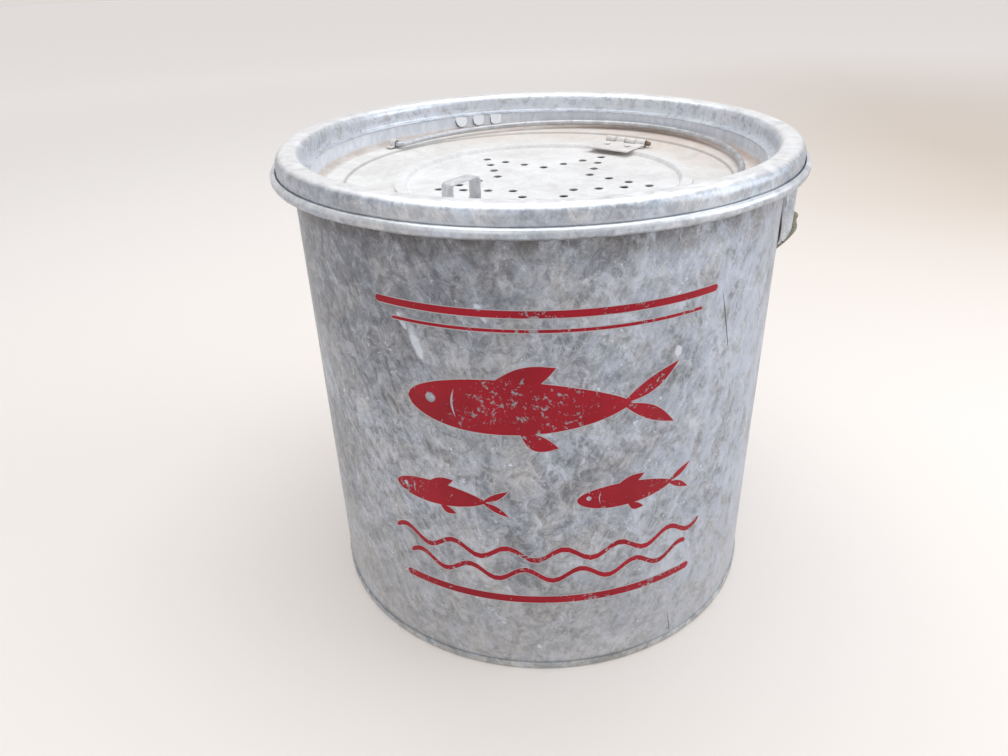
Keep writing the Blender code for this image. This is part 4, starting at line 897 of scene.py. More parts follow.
def chalk(name, shade, light, metallic=0.05, coats=()):
    """Zinc gone chalky with white oxide: soft clouds, a fine grain, and rings left by drying water."""
    material, tree, shader, place = finish(name, metallic)
    clouds = noise(tree, place, 0.022, 5, 0.62, 0.6)
    grain = noise(tree, place, 0.0016, 4, 0.65)
    rings = patchy(tree, place, 0.011, (0.485, 0.50), 2, 0.5, 1.5)
    tone = weighed(tree, (levels(tree, clouds, 0.3, 0.7), 0.55), (levels(tree, grain, 0.3, 0.7), 0.25),
                   (rings, 0.20))
    paint = mixed(tree, tone, shade, light)
    specks = patchy(tree, place, 0.0024, (0.70, 0.76), 3, 0.6, 0.3)
    paint = mixed(tree, times(tree, specks, 0.35), paint, colour(150, 146, 142))
    tree.links.new(coated(tree, place, paint, coats), shader.inputs["Base Color"])
    tree.links.new(levels(tree, clouds, 0.3, 0.7, 0.52, 0.72), shader.inputs["Roughness"])
    shader.inputs["Specular IOR Level"].default_value = 0.3
    relief(tree, shader, (grain, 0.00006), (clouds, 0.00010))
    return material


deck_chalk = chalk("chalky_deck_zinc", colour(208, 205, 201), colour(235, 234, 232),
                   coats=(back_stain, blush, edge_dirt, step_shade_line, upstand_zinc, upstand_light))
install(deck, deck_chalk, "inner_bucket", "chalky_deck", "deck_pan")
# Painted light: the tabs get a paler copy of the chalky zinc, as if catching the light from above.
lit_tab_chalk = chalk("lit_chalky_tab_zinc", colour(226, 228, 231), colour(246, 246, 247))
install(cut(tabs()), lit_tab_chalk, "inner_bucket", "chalky_deck")


# Neck tube
# A short rolled tube that carries the deck's opening down through the float chamber, where its foot
# is soldered into the chamber's floor.
NECK_TUBE = NECK_RADIUS + 4 * HAIR_GAP
CHAMBER_FLOOR = 0.1550
AROUND_INSIDE = 192
neck_head = (NECK_TUBE, SEAT_TOP - INNER_SHEET - 2 * HAIR_GAP)
neck_line = [neck_head, (NECK_TUBE, CHAMBER_FLOOR - INNER_SHEET)]
neck = off_centre(spun("neck_tube_skin", neck_line, 0.006, INNER_SHEET, around(AROUND_INSIDE)))
inner_zinc = zinc("galvanised_inner_zinc", colour(100, 103, 109), colour(196, 198, 202),
                  colour(220, 220, 220), bloomed=0.56, coats=(white_runs,))
install(neck, inner_zinc, "inner_bucket", "galvanised_wall", "neck_tube")


# Float floor
# The ring that shuts the air in under the deck, flanged up round the neck and up inside the basket.
FLOAT_FLANGE = 0.0065
FLOAT_FALL = 0.0020
LINER_RADIUS = 0.1091
FLOAT_CORNER = 0.0030
float_in = CHAMBER_FLOOR - half_sheet
float_out = float_in - FLOAT_FALL
by_neck = NECK_TUBE + INNER_SHEET + HAIR_GAP
float_line = bent([(by_neck, float_in + FLOAT_FLANGE), (by_neck, float_in), (LINER_RADIUS, float_out),
                   (LINER_RADIUS, float_out + FLOAT_FLANGE)], [FLOAT_CORNER, FLOAT_CORNER])
float_disc = spun("float_floor_skin", float_line, 0.004, INNER_SHEET, around(AROUND_INSIDE))
float_ring = off_centre(float_disc, OFF_CENTRE_REACH)
install(float_ring, inner_zinc, "inner_bucket", "galvanised_wall", "float_floor")


# Basket wall
# The minnows' cage and the float chamber's outer wall in one: a rolled sheet with four staggered
# rows of punched water holes below the chamber.
BASKET_RADIUS = 0.1100
BASKET_FOOT = 0.01435
BASKET_HOLE = 0.0024
HOLE_CUTTER = 0.006
HOLE_ROWS = 4
HOLE_PITCH = 0.0240
HOLE_FIRST = 0.0220
HOLES_AROUND = 16


def wall_holes():
    """Centres and directions of the water holes: every other row is turned by half a pitch."""
    row = np.repeat(np.arange(HOLE_ROWS), HOLES_AROUND)
    turn = np.radians((2 * np.tile(np.arange(HOLES_AROUND), HOLE_ROWS) + 0.5 + row % 2) * 180 / HOLES_AROUND)
    out = np.stack([np.cos(turn), np.sin(turn), np.zeros(len(turn))], axis=1)
    height = BASKET_FOOT + HOLE_FIRST + row * HOLE_PITCH
    return out * BASKET_RADIUS + height[:, None] * (0, 0, 1), out


basket_line = [(BASKET_RADIUS, BASKET_TOP), (BASKET_RADIUS, BASKET_FOOT)]
tube = spun("basket_wall_skin", basket_line, 0.006, INNER_SHEET, around(AROUND_INSIDE))
basket = cut(tube, pegs("water_holes", *wall_holes(), BASKET_HOLE, HOLE_CUTTER), tab_windows())
install(basket, inner_zinc, "inner_bucket", "galvanised_wall", "basket_wall")


# Basket bottom
# The cage's floor: a disc with rings of water holes, flanged down inside the wall and soldered.
BASKET_FLOOR = 0.01835
RING_PITCH = 0.0360
HOLES_PER_RING = 6
cage_line = bent([(0, BASKET_FLOOR), (LINER_RADIUS, BASKET_FLOOR), (LINER_RADIUS, BASKET_FOOT)],
                 [FLOAT_CORNER])
cage_disc = spun("basket_bottom_skin", cage_line, 0.006, INNER_SHEET, around(AROUND_INSIDE))
floor_spots = [(0, 0, BASKET_FLOOR)]
for ring in (1, 2):
    reach = ring * RING_PITCH
    for number in range(HOLES_PER_RING * ring):
        turn = math.radians(360 * (number + 0.5) / (HOLES_PER_RING * ring))
        floor_spots.append((reach * math.cos(turn), reach * math.sin(turn), BASKET_FLOOR))
upright = [(0, 0, 1)] * len(floor_spots)
cage_floor = cut(cage_disc, pegs("floor_holes", floor_spots, upright, BASKET_HOLE, HOLE_CUTTER))
install(cage_floor, inner_zinc, "inner_bucket", "galvanised_wall", "basket_bottom")


# Door
# Dished lid of the neck: a flange that lies on the seat and a floor pressed 2 mm down inside it.
# Its air holes, punched from above in the form of a star, have slightly sunk edges.
HINGE_AZIMUTH = 59.0
DOOR_FLANGE = 0.2156
DOOR_FLOOR = 0.2135
DOOR_FALL = 0.0008
DOOR_BEND = 0.0008
DOOR_CLEARANCE = 0.0018
DOOR_RECESS = NECK_RADIUS - DOOR_CLEARANCE
FLANGE_WIDTH = 0.0050
DOOR_RADIUS = DOOR_RECESS + FLANGE_WIDTH
AROUND_DOOR = 216
HOLLOW_CENTRE = (-0.020, 0.015)
HOLLOW_DEPTH = 0.00015
HOLLOW_SPREAD = 0.0005
DIMPLE_DEPTH = 0.00025
DIMPLE_WIDTH = 0.0008
STAR_CENTRE = (0.0010, -0.0001)
STAR_TIP = 0.0532
STAR_VERTEX = 0.0246
STAR_HOLE = 0.0022
HOLES_PER_EDGE = 3
LATCH_INSET = 0.0016
LATCH_OUTER = DOOR_RECESS - LATCH_INSET
LATCH_ASIDE = 0.0019
LATCH_WIDTH = 0.0067
LATCH_SHEET = 0.0008
SLOT_CLEARANCE = 0.0005
SLOT_INWARD = 0.0034
SLOT_CUTTER = 0.008


def star_holes():
    """Hole centres with the hinge on +X: thirds of the edges between the star's tips and vertices."""
    corner = np.arange(11)
    reach = np.where(corner % 2 == 0, STAR_TIP, STAR_VERTEX)
    turn = np.radians(corner * 36)
    corners = np.stack([reach * np.cos(turn), reach * np.sin(turn)], axis=1) + STAR_CENTRE
    share = np.arange(HOLES_PER_EDGE)[None, :, None] / HOLES_PER_EDGE
    return (corners[:-1, None] * (1 - share) + corners[1:, None] * share).reshape(-1, 2)


def shape_door(azimuth, radius, height):
    """Door floor that has sprung a little: one bell-shaped hollow, and a dimple round each hole."""
    turn = np.radians(azimuth)
    spots = np.stack([radius * np.cos(turn), radius * np.sin(turn)], axis=-1)
    inside = np.clip((DOOR_RECESS - 0.003 - radius) / 0.008, 0, 1)
    hollow = -HOLLOW_DEPTH * np.exp(-((spots - HOLLOW_CENTRE) ** 2).sum(-1) / HOLLOW_SPREAD) * inside
    away = np.sqrt(((spots[:, :, None] - star_holes()) ** 2).sum(-1)).min(-1)
    dimple = -DIMPLE_DEPTH * np.exp(-(np.maximum(away - STAR_HOLE, 0) / DIMPLE_WIDTH) ** 2)
    return radius, height + hollow + dimple


spin_door = Matrix.Translation(NECK_CENTRE) @ Matrix.Rotation(math.radians(HINGE_AZIMUTH), 4, "Z")
door_line = bent([(0, DOOR_FLOOR - DOOR_FALL), (DOOR_RECESS - 2 * INNER_SHEET, DOOR_FLOOR),
                  (DOOR_RECESS, DOOR_FLANGE), (DOOR_RADIUS, DOOR_FLANGE)], [DOOR_BEND, DOOR_BEND])
whole_door = spun("lid_skin", door_line, 0.0011, INNER_SHEET, around(AROUND_DOOR), shape_door)
holes = star_holes()
hole_spots = np.column_stack([holes, np.full(len(holes), DOOR_FLOOR)])
air_holes = pegs("air_holes", hole_spots, [(0, 0, 1)] * len(holes), STAR_HOLE, SLOT_CUTTER)
slot_side = LATCH_WIDTH / 2 + SLOT_CLEARANCE
slot_mid = -LATCH_OUTER + (SLOT_INWARD - LATCH_SHEET / 2 - SLOT_CLEARANCE) / 2
slot_half = (SLOT_INWARD + LATCH_SHEET / 2 + SLOT_CLEARANCE) / 2
slot_ring = np.array([(1, 1), (-1, 1), (-1, -1), (1, -1)]) * (slot_half, slot_side)
slot_grow = np.array([0, 1, 1, 0])[:, None, None]
slot_plan = np.array([slot_mid, LATCH_ASIDE]) + slot_ring * slot_grow
slot_through = np.array([-0.5, -0.5, 0.5, 0.5]) * SLOT_CUTTER
slot_level = np.repeat(DOOR_FLOOR + slot_through[:, None], 4, axis=1)
slot_grid = np.concatenate([slot_plan, slot_level[..., None]], axis=-1)
door = cut(whole_door, air_holes, skin("tongue_slot", slot_grid, wrap_columns=True))
door.data.transform(spin_door)


def faint_arcs(tree, place):
    """Grime that collects in faint arcs on the door's floor."""
    thin = patchy(tree, place, 0.020, (0.490, 0.497), 2, 0.5, 2.0)
    where = patchy(tree, place, 0.018, (0.45, 0.6), 2, 0.5)
    return times(tree, thin, where, 0.10), colour(176, 170, 166)


door_chalk = chalk("chalky_door_zinc", colour(213, 211, 209), colour(239, 238, 238),
                   coats=(back_stain, faint_arcs))
install(close_up(door), door_chalk, "door", "chalky_deck", "lid")


# Door hinge
# A one-inch butt hinge. Its moving leaf is riveted on the door's flange and the fixed one is soldered
# to the seat; each is curled round the pin in two of the four knuckles. The pin has rusted.
HINGE_LENGTH = 0.0254
HINGE_RADIUS = DOOR_RADIUS + 0.0070
LEAF_REACH = 0.02075
LEAF_SHEET = 0.0006
MOVING_LEAF_LEVEL = 0.2165
FIXED_LEAF_LEVEL = 0.2156
HINGE_LEVEL = 0.2173
KNUCKLE_RADIUS = 0.0020
CURL_SHEET = 0.00065
KNUCKLES = 4
KNUCKLE_GAP = 0.0003
PIN_RADIUS = 0.0010
PIN_HEAD = 0.00125
PIN_PROUD = 0.0026
HINGE_RIVET_ASIDE = 0.0065
HINGE_RIVET_LEVEL = 0.2172
HINGE_RIVET_SHANK = 0.0014
HINGE_RIVET_TAIL = 0.0010
SMALL_RIVET_RADIUS = 0.0019
SMALL_RIVET_DOME = 0.0005


def strip(name, line, thickness, start, end, soft=0.00025):
    """Bent strip: a mid line in (x, z) with a thickness, carried along y from start to end. Near
    each side the thickness grows as the sine of the way in, which rounds the strip's edges."""
    way = np.linspace(0, np.pi / 2, 5)
    inward = soft * (1 - np.cos(way))
    across = np.concatenate([start + inward, (end - inward)[::-1]])
    grown = np.concatenate([np.sin(way), np.sin(way)[::-1]])
    sections = np.stack([bent_sheet(line, thickness * share) for share in grown])
    side = np.repeat(across[:, None], sections.shape[1], axis=1)
    return skin(name, np.stack([sections[..., 0], side, sections[..., 1]], axis=-1), wrap_columns=True)


def joined(name, pieces):
    """One object made of several."""
    build = bmesh.new()
    for piece in pieces:
        build.from_mesh(piece.data)
        bpy.data.objects.remove(piece, do_unlink=True)
    mesh = bpy.data.meshes.new(name)
    build.to_mesh(mesh)
    build.free()
    whole = bpy.data.objects.new(name, mesh)
    bpy.context.scene.collection.objects.link(whole)
    return close_up(whole)


def hinge_half(name, level, thickness, inner, odd):
    """Leaf up to the knuckles, and for every second knuckle a curl that leaves the leaf's level and
    goes almost all the way round the pin: from 12 degrees past where the two meet to 320."""
    half = HINGE_LENGTH / 2
    pitch = HINGE_LENGTH / KNUCKLES
    flat_end = HINGE_RADIUS - KNUCKLE_RADIUS - LEAF_SHEET
    leaf_line = evened([(inner, level), (flat_end, level)], 0.004)
    pieces = [strip(name + "_leaf", leaf_line, thickness, -half, half)]
    curl_radius = KNUCKLE_RADIUS - CURL_SHEET / 2
    drop = max(-0.95, (level - HINGE_LEVEL) / curl_radius)
    meet = 180 - math.degrees(math.asin(drop))
    wrap = arc((HINGE_RADIUS, HINGE_LEVEL), curl_radius, meet - 12, meet - 320, 26)
    curl_line = np.vstack([[(flat_end - 0.0012, level), (flat_end, level)], wrap])
    for index in range(odd, KNUCKLES, 2):
        start = -half + index * pitch + KNUCKLE_GAP / 2
        end = start + pitch - KNUCKLE_GAP
        pieces.append(strip(name + "_curl", curl_line, CURL_SHEET, start, end, 0.0001))
    whole = joined(name, pieces)
    whole.data.transform(spin_door)
    return whole


leaf_chalk = chalk("chalky_hinge_zinc", colour(205, 200, 196), colour(236, 233, 230), metallic=0.25)
moving_leaf = hinge_half("hinge_leaf_lid_skin", MOVING_LEAF_LEVEL, LEAF_SHEET, HINGE_RADIUS - LEAF_REACH, 0)
fixed_leaf = hinge_half("hinge_leaf_deck_skin", FIXED_LEAF_LEVEL, LEAF_SHEET, DOOR_RADIUS + 4 * HAIR_GAP, 1)
install(moving_leaf, leaf_chalk, "door", "chalky_deck", "hinge_leaf_lid")
install(fixed_leaf, leaf_chalk, "inner_bucket", "chalky_deck", "hinge_leaf_deck")
half_hinge = HINGE_LENGTH / 2
pin_end = -half_hinge - PIN_PROUD
pin_section = np.array([(0, half_hinge), (PIN_RADIUS * 0.8, half_hinge), (PIN_RADIUS, half_hinge - HAIR_GAP),
                        (PIN_RADIUS, -half_hinge - HAIR_GAP), (PIN_HEAD, -half_hinge - 2 * HAIR_GAP),
                        (PIN_HEAD, -half_hinge - PIN_PROUD * 0.7), (PIN_RADIUS * 0.8, pin_end), (0, pin_end)])
pin = turned("hinge_pin_skin", pin_section, around(24))
pin.data.transform(spin_door @ Matrix.Translation((HINGE_RADIUS, 0, HINGE_LEVEL))
                   @ Matrix.Rotation(math.radians(-90), 4, "X"))
rusty_wire = wire_finish("rusty_pin_steel", colour(122, 100, 86), colour(160, 142, 128), 0.3, (0.6, 0.8),
                         rust=0.45)
install(close_up(pin), rusty_wire, "inner_bucket", "rusty_pin", "hinge_pin")
rivet_reach = math.sqrt((DOOR_RECESS + FLANGE_WIDTH / 2) ** 2 - HINGE_RIVET_ASIDE ** 2)
hinge_rivet = (SMALL_RIVET_RADIUS, SMALL_RIVET_DOME, -HINGE_RIVET_SHANK, HINGE_RIVET_TAIL)
for number, side in ((1, HINGE_RIVET_ASIDE), (2, -HINGE_RIVET_ASIDE)):
    stand = spin_door @ Matrix.Translation((rivet_reach, side, HINGE_RIVET_LEVEL))
    rivet("hinge_rivet_%d" % number, hinge_rivet, stand, leaf_chalk, "door", "chalky_deck")


# Door latch
# One spring strap: its foot, riveted under the arch, rises, bends over and comes down through the
# door's slot to a nose that bears on the neck's collar. Pinching the legs together frees the door.
LATCH_SPAN = 0.0182
LATCH_INNER = LATCH_OUTER - LATCH_SPAN
LATCH_TOP = 0.2256
LATCH_FOOT_LEVEL = 0.2145
LATCH_FOOT = 0.0120
LATCH_BEND = 0.0022
SHOULDER_BEND = 0.0012
NOSE_BEND = 0.0010
NOSE_CLEARANCE = 0.00175
NOSE_REACH = NECK_RADIUS - NOSE_CLEARANCE
TONGUE_FALL = 0.0062
TONGUE_END = DOOR_FLOOR - TONGUE_FALL
LATCH_RIVET_APART = 0.0050
LATCH_RIVET_TAIL = 0.0018
LATCH_RIVET_PAST_FLOOR = 0.0014
latch_corners = [(-LATCH_INNER - LATCH_FOOT, LATCH_FOOT_LEVEL), (-LATCH_INNER, LATCH_FOOT_LEVEL),
                 (-LATCH_INNER, LATCH_TOP), (-LATCH_OUTER, LATCH_TOP),
                 (-LATCH_OUTER, DOOR_FLOOR - 2 * LATCH_BEND / 3),
                 (-NOSE_REACH, (DOOR_FLOOR + TONGUE_END) / 2 - LATCH_BEND / 2),
                 (-LATCH_OUTER - LATCH_BEND / 2, TONGUE_END)]
latch_line = bent(latch_corners, [LATCH_BEND, LATCH_BEND, LATCH_BEND, SHOULDER_BEND, NOSE_BEND], 8)
strap = strip("latch_strap_skin", evened(latch_line, 0.0012), LATCH_SHEET, LATCH_ASIDE - LATCH_WIDTH / 2,
              LATCH_ASIDE + LATCH_WIDTH / 2, 0.0002)
strap.data.transform(spin_door)


def strip_steel(name, dark, light, metallic):
    """Cold-rolled spring strip with dull patches and small pits."""
    material, tree, shader, place = finish(name, metallic)
    patches = noise(tree, place, 0.0035, 4, 0.65, 0.5)
    pits = patchy(tree, place, 0.0009, (0.60, 0.72), 3, 0.6)
    paint = mixed(tree, levels(tree, patches, 0.3, 0.7), dark, light)
    paint = mixed(tree, times(tree, pits, 0.4), paint, colour(96, 94, 92))
    tree.links.new(paint, shader.inputs["Base Color"])
    tree.links.new(levels(tree, patches, 0.3, 0.7, 0.42, 0.62), shader.inputs["Roughness"])
    relief(tree, shader, (pits, 0.00003), (patches, 0.00003))
    return material


latch_steel = strip_steel("latch_spring_steel", colour(190, 191, 194), colour(228, 229, 231), 0.35)
strap.data.materials.append(latch_steel)
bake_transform(strap)
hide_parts("latch_strap", "latch_tongue")
foot_top = LATCH_FOOT_LEVEL + LATCH_SHEET / 2
foot_mid = -(LATCH_INNER + LATCH_FOOT / 2)
foot_rivet_low = DOOR_FLOOR - LATCH_RIVET_PAST_FLOOR - foot_top
foot_rivet = (SMALL_RIVET_RADIUS, SMALL_RIVET_DOME, foot_rivet_low, LATCH_RIVET_TAIL)
for number, aside in ((1, -LATCH_RIVET_APART / 2), (2, LATCH_RIVET_APART / 2)):
    stand = spin_door @ Matrix.Translation((foot_mid + aside, LATCH_ASIDE, foot_top + RIVET_SEAT))
    rivet("latch_rivet_%d" % number, foot_rivet, stand, latch_steel, "door", "latch_spring")


# Inner bail
# Thin drawn wire bent to a hoop that lies in the corner of the deck. Its ends are cranked outwards
# through two small lugs, so it swings up to lift the inner bucket out.
BAIL_AZIMUTH = -31.0
INNER_BAIL_LIFT = 0.8
INNER_BAIL_LEVEL = 0.2199
INNER_BAIL_WIRE = 0.0014
INNER_BAIL_BEND = 0.0030
LUG_CENTRE = 0.1004
LUG_LENGTH = 0.0042
INNER_HALF_SPAN = LUG_CENTRE - LUG_LENGTH / 2 - HAIR_GAP - INNER_BAIL_BEND
INNER_REACH = 0.1063


def wire(name, path, radius, place, sides=24):
    """Round wire on a path in the XY plane: c(s) + r(s) (cos t N + sin t Z), N being Z cross the
    path's direction. Its ends close as half balls. The whole is then put in its place."""
    path = np.asarray(path, float)
    heading = np.gradient(path, axis=0)
    heading = heading / np.linalg.norm(heading, axis=1)[:, None]
    cap = np.radians([90, 70, 45, 22])[:, None]
    first = path[0] - heading[0] * radius[0] * np.sin(cap)
    last = (path[-1] + heading[-1] * radius[-1] * np.sin(cap))[::-1]
    centre = np.vstack([first, path, last])
    heading = np.vstack([np.repeat(heading[:1], 4, axis=0), heading, np.repeat(heading[-1:], 4, axis=0)])
    round_end = np.cos(cap[:, 0])
    size = np.concatenate([radius[0] * round_end, radius, radius[-1] * round_end[::-1]])
    turn = np.linspace(0, 2 * np.pi, sides, endpoint=False)
    normal = np.stack([-heading[:, 1], heading[:, 0]], axis=1)
    flat = centre[:, None] + size[:, None, None] * np.cos(turn)[None, :, None] * normal[:, None]
    rise = size[:, None] * np.sin(turn)[None, :]
    piece = skin(name, np.concatenate([flat, rise[..., None]], axis=-1), wrap_columns=True)
    piece.data.transform(place)
    return close_up(piece, 60)


def mirrored(half):
    """A half path from an end to the middle, and back from the middle on the other side."""
    return np.vstack([half, (half * (-1, 1))[::-1]])


crank = arc((INNER_HALF_SPAN + INNER_BAIL_BEND, INNER_BAIL_BEND), INNER_BAIL_BEND, -90, -180, 8)
hoop = arc((0, INNER_BAIL_BEND), INNER_HALF_SPAN, 0, 89.5, 60, INNER_REACH - INNER_BAIL_BEND)
inner_path = mirrored(np.vstack([[(LUG_CENTRE + LUG_LENGTH / 2 + 2 * HAIR_GAP, 0)], crank, hoop[1:]]))
inner_place = (Matrix.Translation((0, 0, INNER_BAIL_LEVEL))
               @ Matrix.Rotation(math.radians(BAIL_AZIMUTH), 4, "Z")
               @ Matrix.Rotation(math.radians(INNER_BAIL_LIFT), 4, "X"))
inner_bail = wire("inner_bail_skin", inner_path, np.full(len(inner_path), INNER_BAIL_WIRE), inner_place)
bail_steel = wire_finish("bail_wire_steel", colour(166, 167, 170), colour(208, 209, 212), 0.5, (0.30, 0.46),
                         rust=0.03)
install(inner_bail, bail_steel, "lift_bail", "bail_wire", "inner_bail")


# Bail lugs
# Two straps of thin sheet bent over the bail's ends and soldered down on the deck.
LUG_SHEET = 0.0007
LUG_FOOT = 0.0030
LUG_BEND = 0.0006
LUG_CLEARANCE = 0.0004
LUG_FOOT_LEVEL = DECK_TOP + HAIR_GAP + LUG_SHEET / 2
lug_ring = INNER_BAIL_WIRE + LUG_CLEARANCE + LUG_SHEET / 2
lug_side = bent([(lug_ring + LUG_FOOT, LUG_FOOT_LEVEL), (lug_ring, LUG_FOOT_LEVEL),
                 (lug_ring, INNER_BAIL_LEVEL)], [LUG_BEND])[:-1]
lug_arch = arc((0, INNER_BAIL_LEVEL), lug_ring, 0, 180, 18)
lug_line = np.vstack([lug_side, lug_arch, (lug_side * (-1, 1))[::-1]])
for lug_name, side in (("bail_lug_right", 0), ("bail_lug_left", 180)):
    lug = strip(lug_name + "_skin", lug_line, LUG_SHEET, -LUG_LENGTH / 2, LUG_LENGTH / 2)
    lug.data.transform(Matrix.Rotation(math.radians(BAIL_AZIMUTH + side), 4, "Z")
                       @ Matrix.Translation((LUG_CENTRE, 0, 0)) @ Matrix.Rotation(math.radians(-90), 4, "Z"))
    install(close_up(lug), leaf_chalk, "inner_bucket", "chalky_deck", lug_name)


# Outer bail
# Heavier drawn wire. Its ends pass through the ears and are upset into heads inside them; the arms
# bow out round the rim's bead, and the middle is straight for the grip. It hangs down at the back.
BAIL_WIRE = 0.0016
BAIL_HEAD = 0.0024
BAIL_BEND = 0.0022
BAIL_TIP = 0.1191
BAIL_HEAD_END = 0.1207
BAIL_NECK = 0.1213
ARM_OFFSET = 0.1264
BAIL_HALF_SPAN = 0.1305
BAIL_SHOULDER = 0.0250
BAIL_REACH = 0.1520
BAIL_DROP = 35.33
GRIP_STRAIGHT = 0.0480
bow_way = np.linspace(0, 1, 20)[1:-1]
bow = np.stack([ARM_OFFSET + (BAIL_HALF_SPAN - ARM_OFFSET) * (1 - np.cos(np.pi * bow_way)) / 2,
                BAIL_BEND + (BAIL_SHOULDER - BAIL_BEND) * bow_way], axis=1)
shoulder = arc((GRIP_STRAIGHT, BAIL_SHOULDER), BAIL_HALF_SPAN - GRIP_STRAIGHT, 0, 90, 48,
               BAIL_REACH - BAIL_SHOULDER)
bail_end = [(BAIL_TIP, 0), (BAIL_HEAD_END, 0), (BAIL_NECK, 0)]
elbow = arc((ARM_OFFSET - BAIL_BEND, BAIL_BEND), BAIL_BEND, -90, 0, 8)
bail_path = mirrored(np.vstack([bail_end, elbow, bow, shoulder]))
bail_size = np.full(len(bail_path), BAIL_WIRE)
bail_size[[0, 1, -1, -2]] = BAIL_HEAD
bail_place = Matrix.Translation((0, 0, PIVOT_LEVEL)) @ Matrix.Rotation(math.radians(-BAIL_DROP), 4, "X")
bail = wire("bail_skin", bail_path, bail_size, bail_place)
outer_steel = wire_finish("outer_bail_steel", colour(104, 104, 88), colour(160, 160, 140), rust=0.35)
install(bail, outer_steel, "outer_bail", "bail_wire", "bail")


# Bail grip
# Turned hardwood, bored for the wire and free to spin on it, with a groove near each end.
GRIP_LENGTH = 0.0900
GRIP_RADIUS = 0.0065
GRIP_END = 0.0050
GRIP_BORE = 0.0020
GROOVE_DEPTH = 0.0011
GROOVE_PLACE = 0.68
GROOVE_WIDTH = 0.018
END_FALL = 0.0008
END_FROM = 0.985
END_OVER = 0.015


def grip_radius(along):
    """Grip's radius at a share u of its half length: R - (R - E) u ** 6, less two bell-shaped grooves
    and a rounded fall at the ends."""
    share = np.abs(along) / (GRIP_LENGTH / 2)
    swell = GRIP_RADIUS - (GRIP_RADIUS - GRIP_END) * share ** 6
    groove = GROOVE_DEPTH * np.exp(-((share - GROOVE_PLACE) / GROOVE_WIDTH) ** 2)
    return swell - groove - END_FALL * np.clip((share - END_FROM) / END_OVER, 0, 1) ** 2


def hardwood(name):
    """Turned hardwood: fine rings and broad bands along the grain, and worn pale patches."""
    material, tree, shader, place = finish(name, 0.0)
    rings = noise(tree, place, 0.0016, 3, 0.6, 0.8, (22, 1, 1))
    broad = noise(tree, place, 0.006, 2, 0.5, 0.4, (8, 1, 1))
    tone = weighed(tree, (levels(tree, rings, 0.3, 0.7), 0.6), (levels(tree, broad, 0.3, 0.7), 0.4))
    paint = mixed(tree, tone, colour(112, 72, 44), colour(178, 130, 86))
    worn = patchy(tree, place, 0.007, (0.56, 0.66), 5, 0.65, 0.4, stretch=(2, 1, 1))
    paint = mixed(tree, times(tree, worn, 0.5), paint, colour(186, 158, 122))
    tree.links.new(paint, shader.inputs["Base Color"])
    tree.links.new(levels(tree, worn, 0.0, 1.0, 0.38, 0.7), shader.inputs["Roughness"])
    relief(tree, shader, (rings, 0.00008), (worn, -0.00005))
    return material


along_grip = np.linspace(-1, 1, 181) * GRIP_LENGTH / 2
grip_section = np.vstack([np.stack([grip_radius(along_grip), along_grip], axis=1),
                          [(GRIP_BORE, GRIP_LENGTH / 2), (GRIP_BORE, -GRIP_LENGTH / 2)]])
grip = turned("bail_grip_skin", grip_section, around(48))
grip.data.transform(bail_place @ Matrix.Translation((0, BAIL_REACH, 0))
                    @ Matrix.Rotation(math.radians(90), 4, "Y"))
install(close_up(grip), hardwood("grip_hardwood"), "grip", "grip_wood", "bail_grip")


# Front print
# Red enamel silk-screened on the wall: three minnows over waves and plain rules. It is as thin as
# paper, with a pale edge where it has lifted, and flecks of zinc show where it has worn away.
PRINT_AZIMUTH = -82.0
PRINT_LIFT = 0.00009
PRINT_SUNK = 0.00012
EYE_LIFT = PRINT_LIFT * 1.6
EDGE_LIFT = 0.00004
EDGE_WIDTH = 0.0004
PRINT_STEPS = 72
MINNOWS = ((-0.062, 0.1500, 0.118), (-0.074, 0.1010, 0.056), (0.012, 0.1030, 0.056))
RULES = ((-0.074, 0.074, 0.1925, 0.0030), (-0.066, 0.066, 0.1855, 0.0013),
         (-0.078, 0.078, 0.0730, 0.0028, 0.0032, 0.026), (-0.070, 0.070, 0.0610, 0.0028, 0.0032, 0.026),
         (-0.074, 0.074, 0.0460, 0.0040))


def lens(start, end, above, below, power=1.0):
    """Leaf between two points: offsets of above and below times sin(pi u) to a power, square to the
    line from start to end. Both curves meet at its ends. Lengths run along the wall and up."""
    start, end = np.array(start, float), np.array(end, float)
    way = np.linspace(0, 1, PRINT_STEPS)[:, None]
    square = np.array([-(end - start)[1], (end - start)[0]]) / np.linalg.norm(end - start)
    bulge = np.sin(np.pi * way) ** power
    middle = start + (end - start) * way
    return middle - square * below * bulge, middle + square * above * bulge


def rule(start, end, level, width, swing=0.0, wavelength=0.02):
    """Rule from start to end at a level, with round ends; a swing above 0 makes it a sine wave."""
    way = (1 - np.cos(np.linspace(0, np.pi, PRINT_STEPS))) / 2
    along = start + (end - start) * way
    from_end = np.minimum(along - start, end - along)
    half = width / 2 * np.sqrt(np.clip(1 - (1 - np.clip(from_end / (width / 2), 0, 1)) ** 2, 0, 1))
    middle = level + swing * np.sin(2 * np.pi * (along - start) / wavelength)
    return np.stack([along, middle - half], axis=1), np.stack([along, middle + half], axis=1)


